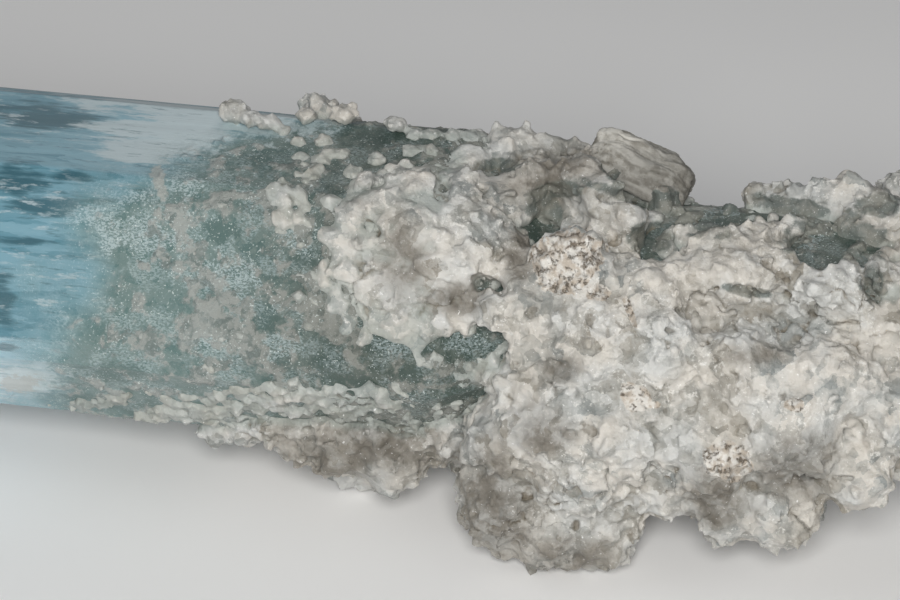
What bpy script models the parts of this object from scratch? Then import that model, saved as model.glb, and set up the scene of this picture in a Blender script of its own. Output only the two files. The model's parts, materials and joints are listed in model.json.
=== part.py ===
"""Aquamarine crystal partly wrapped in a white crust of feldspar and quartz, lying on its side.

The prism's long axis runs along +X, from its free tip to the end that the crust wraps.
Places on the specimen are given the way the crystal has them: how far along its axis from the
tip, at what turn around it (0 faces the front, -Y, and 90 is up) and how far out from the axis.
Lengths below are in millimetres, turns in degrees.
"""

import math
import random

import bmesh
import bpy
from mathutils import Matrix, Vector, noise

MM = 0.001

# Where the crystal's axis lies: the specimen rests on its crust, on the plane z = 0.
TIP_X = -61.8
AXIS_Y = 1.0
AXIS_HEIGHT = 22.0

# The prism: six wide faces and six narrow ones between them, as turn and distance from the axis.
CRYSTAL_LENGTH = 116.0
PRISM_FACES = (
    (24, 15.2), (54, 16.7), (84, 15.3), (114, 16.1), (144, 15.0), (174, 16.5),
    (204, 15.4), (234, 16.6), (264, 15.1), (294, 16.0), (324, 15.3), (354, 16.8),
)
TIP_BEVEL_TILT = 48.0
TIP_BEVEL_CUT = 1.5
ROUGH_BLOCK = 60.0

# Inside the crust the prism narrows.
NARROWS_FROM = 63.0
NARROWS_TO = 76.0
NARROW_SHARE = 0.68

# Lengthwise ribs on the prism's faces, and the stations between which they wander.
RIB_TURN_STEP = 10
STATION_STEP = 6.0
RIB_DEPTH = 0.35

# The crust is clear of the prism and of the block by these gaps.
SOCKET_GAP = 0.45
BLOCK_GAP = 0.4

# The coating: overlapping grains over the prism, from an edge that wanders round it.
GRAIN_STEP = 2.9
GRAIN_HALF = 2.5
COATING_END = 116.0
COATING_EDGE = (
    (-180, 47), (-140, 46), (-100, 42), (-62, 41), (-45, 48), (-30, 71), (-4, 72), (12, 61), (30, 56),
    (52, 55), (72, 57), (84, 63), (100, 69), (126, 69), (142, 60), (158, 49), (180, 47),
)

# Bare windows in the coating: along, turn, half-length along, half-width in turn.
WINDOWS = (
    (67.8, 32, 2.6, 7), (73.6, 66, 2.6, 9), (86.5, 62, 3.4, 17), (92, 96, 4.6, 22),
    (101.5, 76, 5.6, 17), (110.5, 76, 3.4, 16), (104, 38, 2.0, 5), (80, 190, 4.0, 14),
    (96, 140, 5.0, 13), (70, 134, 3.5, 10), (90.6, 116, 3.4, 16),
)

# The lumps that stand out of the coating: along, turn, out, half-sizes along, around and out.
LUMPS = (
    # the knobs on the top edge, and the tongue of crust from which they come over it
    (48.9, 117, 15.9, 2.0, 2.1, 2.0), (51.8, 116, 15.4, 1.7, 1.9, 1.5), (49.4, 127, 15.2, 2.4, 3.0, 1.7),
    (50.6, 138, 15.4, 2.8, 3.4, 1.9), (52.0, 149, 15.4, 3.2, 3.4, 2.2), (64.4, 117, 14.9, 2.0, 2.4, 1.4),
    # the ragged rim under the prism
    (42.0, -61, 15.2, 2.6, 2.8, 1.2), (46.4, -59, 15.4, 3.0, 3.6, 1.9), (50.2, -58, 15.7, 3.6, 4.4, 2.8),
    (54.6, -55, 16.0, 4.0, 5.4, 4.2), (60.0, -56, 16.4, 4.0, 5.6, 4.8), (54.6, -85, 17.6, 4.8, 5.2, 6.0),
    # the great lower lump
    (72.6, -28, 16.8, 4.4, 5.6, 4.2), (71.6, -46, 20.0, 4.8, 5.6, 5.6), (76.8, -52, 20.6, 5.2, 6.2, 6.4),
    (81.8, -51, 20.2, 4.2, 6.0, 6.4), (77.0, -12, 17.6, 6.0, 5.6, 4.2), (83.0, -16, 17.4, 5.2, 5.6, 4.4),
    (80.0, -30, 18.8, 5.2, 5.2, 4.6),
    # the saddle and the second lower lump
    (87.6, -38, 16.8, 4.2, 5.2, 4.8), (92.4, -18, 17.2, 4.6, 5.2, 4.4), (94.2, -41, 18.2, 3.8, 4.6, 4.9),
    (99.4, -41, 18.4, 4.2, 4.8, 4.8), (100.0, -8, 16.2, 5.4, 5.6, 4.2), (106.6, -30, 15.6, 3.4, 4.2, 4.2),
    (110.0, -6, 12.6, 4.6, 5.0, 4.2),
    # the front
    (73.5, 22, 15.4, 4.6, 5.2, 3.2), (80.5, 20, 15.2, 5.2, 5.6, 3.9), (87.0, 12, 14.6, 5.4, 5.6, 4.4),
    (95.0, 8, 14.2, 5.6, 5.4, 4.4), (103.0, 8, 13.6, 5.4, 5.2, 4.2), (78.0, 42, 15.4, 4.4, 4.4, 3.2),
    (85.0, 34, 13.8, 4.6, 4.2, 3.6), (62.0, 38, 14.8, 4.6, 5.4, 2.6), (66.0, 50, 14.8, 4.6, 5.4, 2.8),
    (60.0, 62, 15.0, 3.0, 4.0, 2.0), (66.0, 72, 15.0, 3.4, 3.6, 2.2),
    # the top
    (69.4, 108, 15.2, 2.8, 2.9, 2.2), (72.8, 112, 15.1, 2.6, 2.8, 1.9), (76.2, 110, 14.4, 2.4, 2.9, 1.9),
    (72.0, 88, 14.9, 3.3, 3.4, 2.5), (77.0, 85, 14.7, 2.9, 2.9, 2.4), (79.6, 75, 15.0, 2.7, 2.8, 2.5),
    (82.6, 70, 14.4, 2.4, 3.0, 2.0), (91.5, 61, 12.8, 3.4, 2.4, 2.0), (92.6, 48, 13.4, 4.6, 2.8, 2.6),
    (103.2, 50, 12.9, 4.4, 3.4, 2.6), (93.4, 116, 12.4, 1.5, 1.9, 1.4), (96.8, 112, 12.4, 2.2, 2.2, 2.0),
    (99.8, 111, 12.6, 2.2, 2.2, 2.0), (102.8, 112, 13.0, 2.6, 2.5, 2.4), (105.4, 108, 12.6, 2.2, 2.3, 2.0),
    (107.0, 134, 14.8, 2.4, 2.4, 2.4),
    # the back
    (78.0, 168, 14.4, 5.6, 5.6, 3.4), (91.0, 205, 13.6, 6.4, 6.2, 4.4), (104.0, 168, 12.6, 5.6, 5.4, 3.6),
    (70.5, 222, 15.8, 5.0, 5.4, 3.4), (83.0, 236, 15.8, 5.8, 6.0, 4.6), (98.0, 240, 14.8, 5.8, 6.0, 5.0),
    (57.0, 212, 15.8, 4.6, 5.2, 2.6), (62.0, 160, 15.6, 4.8, 5.0, 2.4),
    # the end, which the crust closes
    (113.0, -24, 7.6, 7.6, 8.0, 7.2), (113.0, 92, 6.6, 7.2, 8.0, 7.2), (114.0, 200, 6.6, 7.4, 8.6, 8.0),
    (118.0, 30, 2.4, 5.4, 8.0, 6.6), (113.0, -92, 7.2, 6.4, 7.6, 6.6),
    # the feet
    (75.0, -74, 18.0, 5.8, 6.4, 5.2), (55.0, -120, 18.6, 5.2, 6.2, 7.4), (97.0, -112, 17.6, 6.2, 6.6, 6.6),
    (85.0, -96, 16.4, 6.4, 7.0, 6.2), (66.0, -100, 16.6, 5.4, 6.6, 6.0), (99.0, -72, 16.6, 4.6, 5.6, 5.6),
)
LUMP_LEAN = 0.35
LUMP_DENT = 0.2

# The tan feldspar block that stands on the top of the crust: a rough block cut by its faces.
BLOCK_PLACE = (82.0, 118, 13.9)
BLOCK_HALF = (5.0, 3.4, 2.4)
BLOCK_DIP = 19.0
BLOCK_CUTS = (
    ((1.0, 0.2, 0.9), 1.05), ((-0.9, 0.3, 1.0), 1.05), ((0.2, 1.0, 0.9), 1.02), ((0.1, -1.0, 0.8), 1.0),
    ((0.9, -0.9, 0.2), 1.08), ((-1.0, 0.8, -0.2), 1.1), ((-0.8, -1.0, 0.3), 1.12), ((1.0, 0.9, 0.1), 1.1),
)
BLOCK_RIDGES = 5
BLOCK_RIDGE_DEPTH = 0.45

CRUST_VOXEL = 0.95
CRUST_FACES = 7200
SEED = 7


def around(along, turn, out):
    """The point at that distance along the crystal, turn around it and distance out from its axis."""
    angle = math.radians(turn)
    return Vector((TIP_X + along, AXIS_Y - out * math.cos(angle), AXIS_HEIGHT + out * math.sin(angle)))


def outward(turn):
    angle = math.radians(turn)
    return Vector((0, -math.cos(angle), math.sin(angle)))


def smooth_step(value, low, high):
    share = min(1.0, max(0.0, (value - low) / (high - low)))
    return share * share * (3 - 2 * share)


def narrowing(along):
    """The share of its full width that the prism has at that distance along it."""
    return 1 - (1 - NARROW_SHARE) * smooth_step(along, NARROWS_FROM, NARROWS_TO)


def prism_radius(along, turn):
    """How far out the prism's surface is."""
    reach = min(
        distance / math.cos(math.radians(turn - face))
        for face, distance in PRISM_FACES
        if math.cos(math.radians(turn - face)) > 0.1
    )
    return reach * narrowing(along)


def turn_of(point):
    return math.degrees(math.atan2(point.z - AXIS_HEIGHT, AXIS_Y - point.y))


def new_object(name, mesh, collection, colour=None, roughness=0.5):
    obj = bpy.data.objects.new(name, mesh)
    collection.objects.link(obj)
    if colour:
        material = bpy.data.materials.new(name)
        material.use_nodes = True
        shader = material.node_tree.nodes["Principled BSDF"]
        shader.inputs["Base Color"].default_value = (*colour, 1)
        shader.inputs["Roughness"].default_value = roughness
        mesh.materials.clear()
        mesh.materials.append(material)
    return obj


def mesh_of(bm, name):
    """The bmesh as a mesh in metres; it is modelled in millimetres."""
    bmesh.ops.recalc_face_normals(bm, faces=bm.faces)
    bm.transform(Matrix.Scale(MM, 4))
    mesh = bpy.data.meshes.new(name)
    bm.to_mesh(mesh)
    bm.free()
    return mesh


def cut_away(bm, point, normal):
    """Cuts off what lies beyond a plane, and closes the cut."""
    cut = bmesh.ops.bisect_plane(
        bm, geom=bm.verts[:] + bm.edges[:] + bm.faces[:], plane_co=point, plane_no=normal, clear_outer=True
    )
    edges = [e for e in cut["geom_cut"] if isinstance(e, bmesh.types.BMEdge)]
    if edges:
        bmesh.ops.contextual_create(bm, geom=edges)


def slice_at(bm, point, normal):
    bmesh.ops.bisect_plane(
        bm, geom=bm.verts[:] + bm.edges[:] + bm.faces[:], plane_co=point, plane_no=normal
    )


def prism_block(grow):
    """The crystal's flat-faced form: a long block, cut by each of its faces. grow moves every face out."""
    bm = bmesh.new()
    bmesh.ops.create_cube(bm, size=1)
    middle = around(CRYSTAL_LENGTH / 2, 0, 0)
    size = Vector((CRYSTAL_LENGTH + 2 * grow, ROUGH_BLOCK, ROUGH_BLOCK))
    bm.transform(Matrix.Translation(middle) @ Matrix.Diagonal(size).to_4x4())
    tilt = math.radians(TIP_BEVEL_TILT)
    for turn, distance in PRISM_FACES:
        cut_away(bm, around(0, turn, distance + grow), outward(turn))
        bevel = Vector((-math.cos(tilt), 0, 0)) + outward(turn) * math.sin(tilt)
        cut_away(bm, around(0, turn, distance - TIP_BEVEL_CUT) + bevel * grow, bevel)
    return bm


def slice_stations(bm, step):
    """Cuts rings of edges across the prism, so that it can narrow and carry relief."""
    for i in range(1, round(CRYSTAL_LENGTH / step)):
        slice_at(bm, around(i * step, 0, 0), Vector((1, 0, 0)))


def narrow(bm):
    for vert in bm.verts:
        share = narrowing(vert.co.x - TIP_X)
        vert.co.y = AXIS_Y + (vert.co.y - AXIS_Y) * share
        vert.co.z = AXIS_HEIGHT + (vert.co.z - AXIS_HEIGHT) * share


def rib_depth(along, turn):
    """How deep the surface lies under the flat face: ribs that run lengthwise and wander slowly."""
    wander = noise.noise(Vector((along * 0.04, turn * 0.11, 3.7)))
    fine = noise.noise(Vector((along * 0.11, turn * 0.31, 9.1)))
    return RIB_DEPTH * (0.5 + 0.5 * wander + 0.35 * fine)


def make_crystal(collection):
    bm = prism_block(0)
    for turn in range(0, 180, RIB_TURN_STEP):
        slice_at(bm, around(0, 0, 0), outward(turn + 90))
    slice_stations(bm, STATION_STEP)
    narrow(bm)
    axis_end = TIP_X + CRYSTAL_LENGTH
    for vert in bm.verts:
        if TIP_X + TIP_BEVEL_CUT < vert.co.x < axis_end - 0.1:
            turn = turn_of(vert.co)
            vert.co -= outward(turn) * max(0, rib_depth(vert.co.x - TIP_X, turn))
    bmesh.ops.triangulate(bm, faces=bm.faces)
    return new_object("aquamarine_crystal", mesh_of(bm, "aquamarine_crystal"), collection, (0.30, 0.52, 0.56), 0.2)


def make_socket(collection):
    """The prism grown by the gap, which hollows the crust."""
    bm = prism_block(SOCKET_GAP)
    slice_stations(bm, STATION_STEP)
    narrow(bm)
    return new_object("prism_socket", mesh_of(bm, "prism_socket"), collection)


def make_block(name, collection, grow, colour=None):
    """The tan block: a box cut by its rough faces, with ledges along it."""
    bm = bmesh.new()
    bmesh.ops.create_cube(bm, size=2)
    for direction, distance in BLOCK_CUTS:
        normal = Vector(direction).normalized()
        cut_away(bm, normal * distance, normal)
    for i in range(1, 2 * BLOCK_RIDGES):
        slice_at(bm, Vector((0, -1 + i / BLOCK_RIDGES, 0)), Vector((0.25, 1, 0.2)))
    for vert in bm.verts:
        ridge = math.sin((vert.co.y + 0.25 * vert.co.x) * math.pi * BLOCK_RIDGES)
        if vert.co.z > 0 and grow == 0:
            vert.co.z -= BLOCK_RIDGE_DEPTH / BLOCK_HALF[2] * (0.5 + 0.5 * ridge)
    size = [half + grow for half in BLOCK_HALF]
    along, turn, out = BLOCK_PLACE
    frame = Matrix((Vector((1, 0, 0)), outward(turn).cross(Vector((1, 0, 0))), outward(turn))).transposed()
    dip = Matrix.Rotation(math.radians(BLOCK_DIP), 4, "Y")
    place = Matrix.Translation(around(along, turn, out)) @ frame.to_4x4() @ dip
    bm.transform(place @ Matrix.Diagonal(Vector(size)).to_4x4())
    bmesh.ops.triangulate(bm, faces=bm.faces)
    return new_object(name, mesh_of(bm, name), collection, colour, 0.8)


def edge_of_coating(turn):
    """Where the coating begins along the prism, at that turn."""
    for (turn_a, along_a), (turn_b, along_b) in zip(COATING_EDGE, COATING_EDGE[1:]):
        if turn_a <= turn <= turn_b:
            return along_a + (along_b - along_a) * smooth_step(turn, turn_a, turn_b)
    return COATING_END


def turn_between(a, b):
    return (a - b + 180) % 360 - 180


def is_bare(along, turn):
    return any(
        ((along - at) / half_along) ** 2 + (turn_between(turn, at_turn) / half_turn) ** 2 < 1
        for at, at_turn, half_along, half_turn in WINDOWS
    )


def coating_grains(chance):
    """The grains that coat the prism, as lumps in staggered rings around it."""
    rings = int(COATING_END / GRAIN_STEP)
    for ring in range(rings):
        along = (ring + 0.5) * GRAIN_STEP
        radius = prism_radius(along, 0)
        count = round(2 * math.pi * radius / GRAIN_STEP)
        for i in range(count):
            turn = -180 + 360 * (i + 0.5 * (ring % 2) + chance.uniform(-0.2, 0.2)) / count
            at = along + chance.uniform(-0.6, 0.6)
            half = GRAIN_HALF * chance.uniform(0.75, 1.2)
            lift = chance.uniform(-0.9, 0.1)
            turn = turn_between(turn, 0)
            if at > edge_of_coating(turn) and not is_bare(at, turn):
                yield at, turn, prism_radius(at, turn) + lift, half, half, half


def add_lump(bm, lump, chance):
    """A dented, leaning ball of the lump's half-sizes."""
    along, turn, out, *half = lump
    ball = bmesh.ops.create_icosphere(bm, subdivisions=2, radius=1)["verts"]
    offset = Vector([chance.uniform(0, 50) for _ in range(3)])
    for vert in ball:
        vert.co *= 1 + LUMP_DENT * noise.noise(vert.co * 1.8 + offset)
    lean = Matrix.Rotation(chance.uniform(-LUMP_LEAN, LUMP_LEAN), 3, "Z")
    frame = Matrix((Vector((1, 0, 0)), outward(turn).cross(Vector((1, 0, 0))), outward(turn))).transposed()
    shape = frame @ lean @ Matrix.Diagonal(Vector(half))
    place = Matrix.Translation(around(along, turn, out)) @ shape.to_4x4()
    bmesh.ops.transform(bm, matrix=place, verts=ball)


def cut_by(obj, cutters):
    for cutter in cutters:
        cut = obj.modifiers.new(cutter.name, "BOOLEAN")
        cut.operation = "DIFFERENCE"
        cut.object = cutter


def evaluated_mesh(obj, name):
    """The object's mesh with its modifiers carried out."""
    graph = bpy.context.evaluated_depsgraph_get()
    mesh = bpy.data.meshes.new_from_object(obj.evaluated_get(graph))
    mesh.name = name
    return mesh


def keep_largest_piece(mesh):
    """Drops the crumbs that the windows have cut free."""
    bm = bmesh.new()
    bm.from_mesh(mesh)
    left = set(bm.verts)
    pieces = []
    while left:
        piece, front = set(), [left.pop()]
        while front:
            vert = front.pop()
            piece.add(vert)
            for edge in vert.link_edges:
                other = edge.other_vert(vert)
                if other in left:
                    left.discard(other)
                    front.append(other)
        pieces.append(piece)
    pieces.sort(key=len)
    bmesh.ops.delete(bm, geom=[v for piece in pieces[:-1] for v in piece], context="VERTS")
    bm.to_mesh(mesh)
    bm.free()


def make_floor_cutter(collection):
    bm = bmesh.new()
    bmesh.ops.create_cube(bm, size=200)
    bm.transform(Matrix.Translation((0, 0, -100)))
    return new_object("floor_cutter", mesh_of(bm, "floor_cutter"), collection)


def make_crust(collection, cutters):
    chance = random.Random(SEED)
    bm = bmesh.new()
    for lump in (*LUMPS, *coating_grains(chance)):
        add_lump(bm, lump, chance)
    rough = new_object("crust_lumps", mesh_of(bm, "crust_lumps"), collection)
    remesh = rough.modifiers.new("grown_together", "REMESH")
    remesh.mode = "VOXEL"
    remesh.voxel_size = CRUST_VOXEL * MM
    whole = evaluated_mesh(rough, "crust_whole")
    rough.modifiers.clear()
    rough.data = whole
    thin = rough.modifiers.new("fewer_faces", "DECIMATE")
    thin.ratio = CRUST_FACES / (2 * len(whole.polygons))
    cut_by(rough, cutters)
    bpy.context.view_layer.update()
    mesh = evaluated_mesh(rough, "white_crust")
    bpy.data.objects.remove(rough)
    keep_largest_piece(mesh)
    return new_object("white_crust", mesh, collection, (0.74, 0.72, 0.68), 0.6)


def hide_helpers(collection):
    for obj in collection.objects:
        obj.hide_render = True
        obj.display_type = "WIRE"
    collection.hide_render = True


def main():
    for obj in list(bpy.data.objects):
        bpy.data.objects.remove(obj)
    parts = bpy.data.collections.new("aquamarine_specimen")
    helpers = bpy.data.collections.new("cutters")
    for collection in (parts, helpers):
        bpy.context.scene.collection.children.link(collection)
    make_crystal(parts)
    socket = make_socket(helpers)
    cut_by(make_block("tan_feldspar", parts, 0, (0.62, 0.58, 0.50)), (socket,))
    pocket = make_block("block_pocket", helpers, BLOCK_GAP)
    floor = make_floor_cutter(helpers)
    make_crust(parts, (socket, pocket, floor))
    hide_helpers(helpers)


main()
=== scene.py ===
"""The look of the aquamarine specimen: the etched prism, the sugary crust and the feldspar block.

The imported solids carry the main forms. Here each is replaced by a finer mesh of the same form,
made by the same rules and named values as the solids, with its own material.
Lengths are in millimetres and turns in degrees, as the solids have them: how far along the
prism from its tip, at what turn around it (0 faces the front, -Y, and 90 is up), how far out.
"""

import json
import math
import random

import bmesh
import bpy
import numpy as np
from mathutils import Matrix, Vector, noise

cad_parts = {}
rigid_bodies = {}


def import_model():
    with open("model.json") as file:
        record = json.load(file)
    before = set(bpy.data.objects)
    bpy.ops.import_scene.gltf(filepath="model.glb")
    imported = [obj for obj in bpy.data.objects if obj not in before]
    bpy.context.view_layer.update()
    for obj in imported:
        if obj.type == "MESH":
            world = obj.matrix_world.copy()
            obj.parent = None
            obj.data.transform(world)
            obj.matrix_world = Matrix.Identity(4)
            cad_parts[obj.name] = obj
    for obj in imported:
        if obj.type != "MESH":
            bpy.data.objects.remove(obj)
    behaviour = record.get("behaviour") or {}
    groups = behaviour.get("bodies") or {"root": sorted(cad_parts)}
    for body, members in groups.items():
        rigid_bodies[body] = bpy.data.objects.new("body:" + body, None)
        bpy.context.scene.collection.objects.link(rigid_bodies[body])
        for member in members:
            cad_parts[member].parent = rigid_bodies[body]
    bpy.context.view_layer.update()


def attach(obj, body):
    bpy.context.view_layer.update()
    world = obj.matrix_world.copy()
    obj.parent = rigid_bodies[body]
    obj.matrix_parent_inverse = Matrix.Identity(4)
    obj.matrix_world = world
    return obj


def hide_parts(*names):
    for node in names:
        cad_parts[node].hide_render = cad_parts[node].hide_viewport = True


MM = 0.001

# ---- the solids' own values ------------------------------------------------------------------

TIP_X = -61.8
AXIS_Y = 1.0
AXIS_HEIGHT = 22.0
CRYSTAL_LENGTH = 116.0
PRISM_FACES = (
    (24, 15.2), (54, 16.7), (84, 15.3), (114, 16.1), (144, 15.0), (174, 16.5),
    (204, 15.4), (234, 16.6), (264, 15.1), (294, 16.0), (324, 15.3), (354, 16.8),
)
TIP_BEVEL_TILT = 48.0
TIP_BEVEL_CUT = 1.5
NARROWS_FROM = 63.0
NARROWS_TO = 76.0
NARROW_SHARE = 0.68
RIB_DEPTH = 0.35
LEAST_FACING = 0.3

GRAIN_STEP = 2.9
GRAIN_HALF = 2.5
COATING_END = 116.0
COATING_EDGE = (
    (-180, 47), (-140, 46), (-100, 42), (-62, 41), (-45, 48), (-30, 71), (-4, 72), (12, 61),
    (30, 56), (52, 55), (72, 57), (84, 63), (100, 69), (126, 69), (142, 60), (158, 49), (180, 47),
)
WINDOWS = (
    (67.8, 32, 2.6, 7), (73.6, 66, 2.6, 9), (86.5, 62, 3.4, 17), (92, 96, 4.6, 22),
    (101.5, 76, 5.6, 17), (110.5, 76, 3.4, 16), (104, 38, 2.0, 5), (80, 190, 4.0, 14),
    (96, 140, 5.0, 13), (70, 134, 3.5, 10), (90.6, 116, 3.4, 16),
)
LUMPS = (
    # the knobs on the top edge, and the tongue of crust from which they come over it
    (48.9, 117, 15.9, 2.0, 2.1, 2.0), (51.8, 116, 15.4, 1.7, 1.9, 1.5), (49.4, 127, 15.2, 2.4, 3.0, 1.7),
    (50.6, 138, 15.4, 2.8, 3.4, 1.9), (52.0, 149, 15.4, 3.2, 3.4, 2.2), (64.4, 117, 14.9, 2.0, 2.4, 1.4),
    # the ragged rim under the prism
    (42.0, -61, 15.2, 2.6, 2.8, 1.2), (46.4, -59, 15.4, 3.0, 3.6, 1.9), (50.2, -58, 15.7, 3.6, 4.4, 2.8),
    (54.6, -55, 16.0, 4.0, 5.4, 4.2), (60.0, -56, 16.4, 4.0, 5.6, 4.8), (54.6, -85, 17.6, 4.8, 5.2, 6.0),
    # the great lower lump
    (72.6, -28, 16.8, 4.4, 5.6, 4.2), (71.6, -46, 20.0, 4.8, 5.6, 5.6), (76.8, -52, 20.6, 5.2, 6.2, 6.4),
    (81.8, -51, 20.2, 4.2, 6.0, 6.4), (77.0, -12, 17.6, 6.0, 5.6, 4.2), (83.0, -16, 17.4, 5.2, 5.6, 4.4),
    (80.0, -30, 18.8, 5.2, 5.2, 4.6),
    # the saddle and the second lower lump
    (87.6, -38, 16.8, 4.2, 5.2, 4.8), (92.4, -18, 17.2, 4.6, 5.2, 4.4), (94.2, -41, 18.2, 3.8, 4.6, 4.9),
    (99.4, -41, 18.4, 4.2, 4.8, 4.8), (100.0, -8, 16.2, 5.4, 5.6, 4.2), (106.6, -30, 15.6, 3.4, 4.2, 4.2),
    (110.0, -6, 12.6, 4.6, 5.0, 4.2),
    # the front
    (73.5, 22, 15.4, 4.6, 5.2, 3.2), (80.5, 20, 15.2, 5.2, 5.6, 3.9), (87.0, 12, 14.6, 5.4, 5.6, 4.4),
    (95.0, 8, 14.2, 5.6, 5.4, 4.4), (103.0, 8, 13.6, 5.4, 5.2, 4.2), (78.0, 42, 15.4, 4.4, 4.4, 3.2),
    (85.0, 34, 13.8, 4.6, 4.2, 3.6), (62.0, 38, 14.8, 4.6, 5.4, 2.6), (66.0, 50, 14.8, 4.6, 5.4, 2.8),
    (60.0, 62, 15.0, 3.0, 4.0, 2.0), (66.0, 72, 15.0, 3.4, 3.6, 2.2),
    # the top
    (69.4, 108, 15.2, 2.8, 2.9, 2.2), (72.8, 112, 15.1, 2.6, 2.8, 1.9), (76.2, 110, 14.4, 2.4, 2.9, 1.9),
    (72.0, 88, 14.9, 3.3, 3.4, 2.5), (77.0, 85, 14.7, 2.9, 2.9, 2.4), (79.6, 75, 15.0, 2.7, 2.8, 2.5),
    (82.6, 70, 14.4, 2.4, 3.0, 2.0), (91.5, 61, 12.8, 3.4, 2.4, 2.0), (92.6, 48, 13.4, 4.6, 2.8, 2.6),
    (103.2, 50, 12.9, 4.4, 3.4, 2.6), (93.4, 116, 12.4, 1.5, 1.9, 1.4), (96.8, 112, 12.4, 2.2, 2.2, 2.0),
    (99.8, 111, 12.6, 2.2, 2.2, 2.0), (102.8, 112, 13.0, 2.6, 2.5, 2.4), (105.4, 108, 12.6, 2.2, 2.3, 2.0),
    (107.0, 134, 14.8, 2.4, 2.4, 2.4),
    # the back
    (78.0, 168, 14.4, 5.6, 5.6, 3.4), (91.0, 205, 13.6, 6.4, 6.2, 4.4), (104.0, 168, 12.6, 5.6, 5.4, 3.6),
    (70.5, 222, 15.8, 5.0, 5.4, 3.4), (83.0, 236, 15.8, 5.8, 6.0, 4.6), (98.0, 240, 14.8, 5.8, 6.0, 5.0),
    (57.0, 212, 15.8, 4.6, 5.2, 2.6), (62.0, 160, 15.6, 4.8, 5.0, 2.4),
    # the end, which the crust closes
    (113.0, -24, 7.6, 7.6, 8.0, 7.2), (113.0, 92, 6.6, 7.2, 8.0, 7.2), (114.0, 200, 6.6, 7.4, 8.6, 8.0),
    (118.0, 30, 2.4, 5.4, 8.0, 6.6), (113.0, -92, 7.2, 6.4, 7.6, 6.6),
    # the feet
    (75.0, -74, 18.0, 5.8, 6.4, 5.2), (55.0, -120, 18.6, 5.2, 6.2, 7.4), (97.0, -112, 17.6, 6.2, 6.6, 6.6),
    (85.0, -96, 16.4, 6.4, 7.0, 6.2), (66.0, -100, 16.6, 5.4, 6.6, 6.0), (99.0, -72, 16.6, 4.6, 5.6, 5.6),
)
BALL_SUBDIVISIONS = 2
LUMP_LEAN = 0.35
LUMP_DENT = 0.2
BLOCK_PLACE = (82.0, 118, 13.9)
BLOCK_HALF = (5.0, 3.4, 2.4)
BLOCK_DIP = 19.0
BLOCK_CUTS = (
    ((1.0, 0.2, 0.9), 1.05), ((-0.9, 0.3, 1.0), 1.05), ((0.2, 1.0, 0.9), 1.02),
    ((0.1, -1.0, 0.8), 1.0), ((0.9, -0.9, 0.2), 1.08), ((-1.0, 0.8, -0.2), 1.1),
    ((-0.8, -1.0, 0.3), 1.12), ((1.0, 0.9, 0.1), 1.1),
)
SEED = 7

# ---- the finer forms -------------------------------------------------------------------------

# Where frosting takes over from the clear end: at each turn, how far along.
FROST_EDGE = (
    (-180, 22), (-60, 18), (-30, 21), (10, 24), (45, 28), (75, 34), (110, 48), (130, 40), (180, 22),
)
PIT_DEPTH = 0.2
FILM_DEPTH = 0.28
EDGE_ANGLE = 28
# The crystal's mesh is fine where it shows and coarse under the crust and behind.
FINE_ALONG = (75.0, 262)
COARSE_ALONG_RINGS = 46
FINE_TURNS = (-68.0, 122.0, 200)
COARSE_TURNS = 90
CAP_RINGS = 24

BASE_VOXEL = 0.7
SOFTENED = 1
HOLE_DEPTH = 0.4
CRISP_ANGLE = 24
SKIN_SINK = 0.05
DRAWN_UNDER = 1
FLOOR_CLEARANCE = 0.4
HOLLOW_ROUNDS = 14
HIDDEN_CUT = 0.92

# The crust is four meshes, each of its own turns: name, turns, size of its finest facets.
CRUST_PIECES = (
    ("crust_low", -102, -22, 0.28), ("crust_front", -22, 52, 0.25), ("crust_top", 52, 148, 0.25),
    ("crust_back", 148, 258, 0.46),
)
MOST_TRIANGLES = 190000
# Its grains, coarse to fine: how many on a square millimetre, their half-sizes, how far they stand out.
CRUST_GRAINS = ((0.10, 1.1, 2.0, -0.7, 0.0), (0.55, 0.5, 1.05, -0.35, 0.45), (1.8, 0.26, 0.55, -0.3, 0.7))
STONE_KINDS = 24
STONE_CORNERS = 14
STONE_BOXINESS = 0.8
KNOB_STONES = 150
KNOB_LIFT = 0.45
SMALL_KNOB = 1.2
SMALL_KNOB_LIFT = -0.2
CRUMB_TRIES = 14000
CRUMB_ALONG = 112.0
CRUMB_HALF = (0.28, 1.1)
CRUMB_SINK = 0.3
BLOCK_VOXEL = 0.13
BLOCK_RELIEF = 1.1
BLOCK_SOFTENED = 12
FLECK_VOXEL = 0.22
FLECK_TRIANGLES = 100000
RIM_TAPER = 12.0
RIM_SHARE = 0.45
THINNED = 0.15
BORDER_WANDER = 5.0
BORDER_REACH = 13
BORDER_SLOPE = 0.2

# ---- places on the crystal -------------------------------------------------------------------


def around(along, turn, out):
    angle = math.radians(turn)
    return Vector((TIP_X + along, AXIS_Y - out * math.cos(angle), AXIS_HEIGHT + out * math.sin(angle)))


def outward(turn):
    angle = math.radians(turn)
    return Vector((0, -math.cos(angle), math.sin(angle)))


def turn_between(a, b):
    return (a - b + 180) % 360 - 180


def smooth_step(value, low, high):
    share = np.clip((value - low) / (high - low), 0, 1)
    return share * share * (3 - 2 * share)


def narrowing(along):
    return 1 - (1 - NARROW_SHARE) * smooth_step(along, NARROWS_FROM, NARROWS_TO)


def prism_radius(along, turn):
    """How far out the prism's surface is, for arrays of places."""
    along, turn = np.asarray(along, float), np.asarray(turn, float)
    tilt = math.radians(TIP_BEVEL_TILT)
    reach = np.full(np.broadcast(along, turn).shape, np.inf)
    for face, distance in PRISM_FACES:
        facing = np.cos(np.radians(turn - face))
        side = distance * narrowing(along)
        bevel = distance - TIP_BEVEL_CUT + np.maximum(along, 0) / math.tan(tilt)
        here = np.minimum(side, bevel) / np.maximum(facing, LEAST_FACING)
        reach = np.where(facing > LEAST_FACING, np.minimum(reach, here), reach)
    return reach


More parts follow.
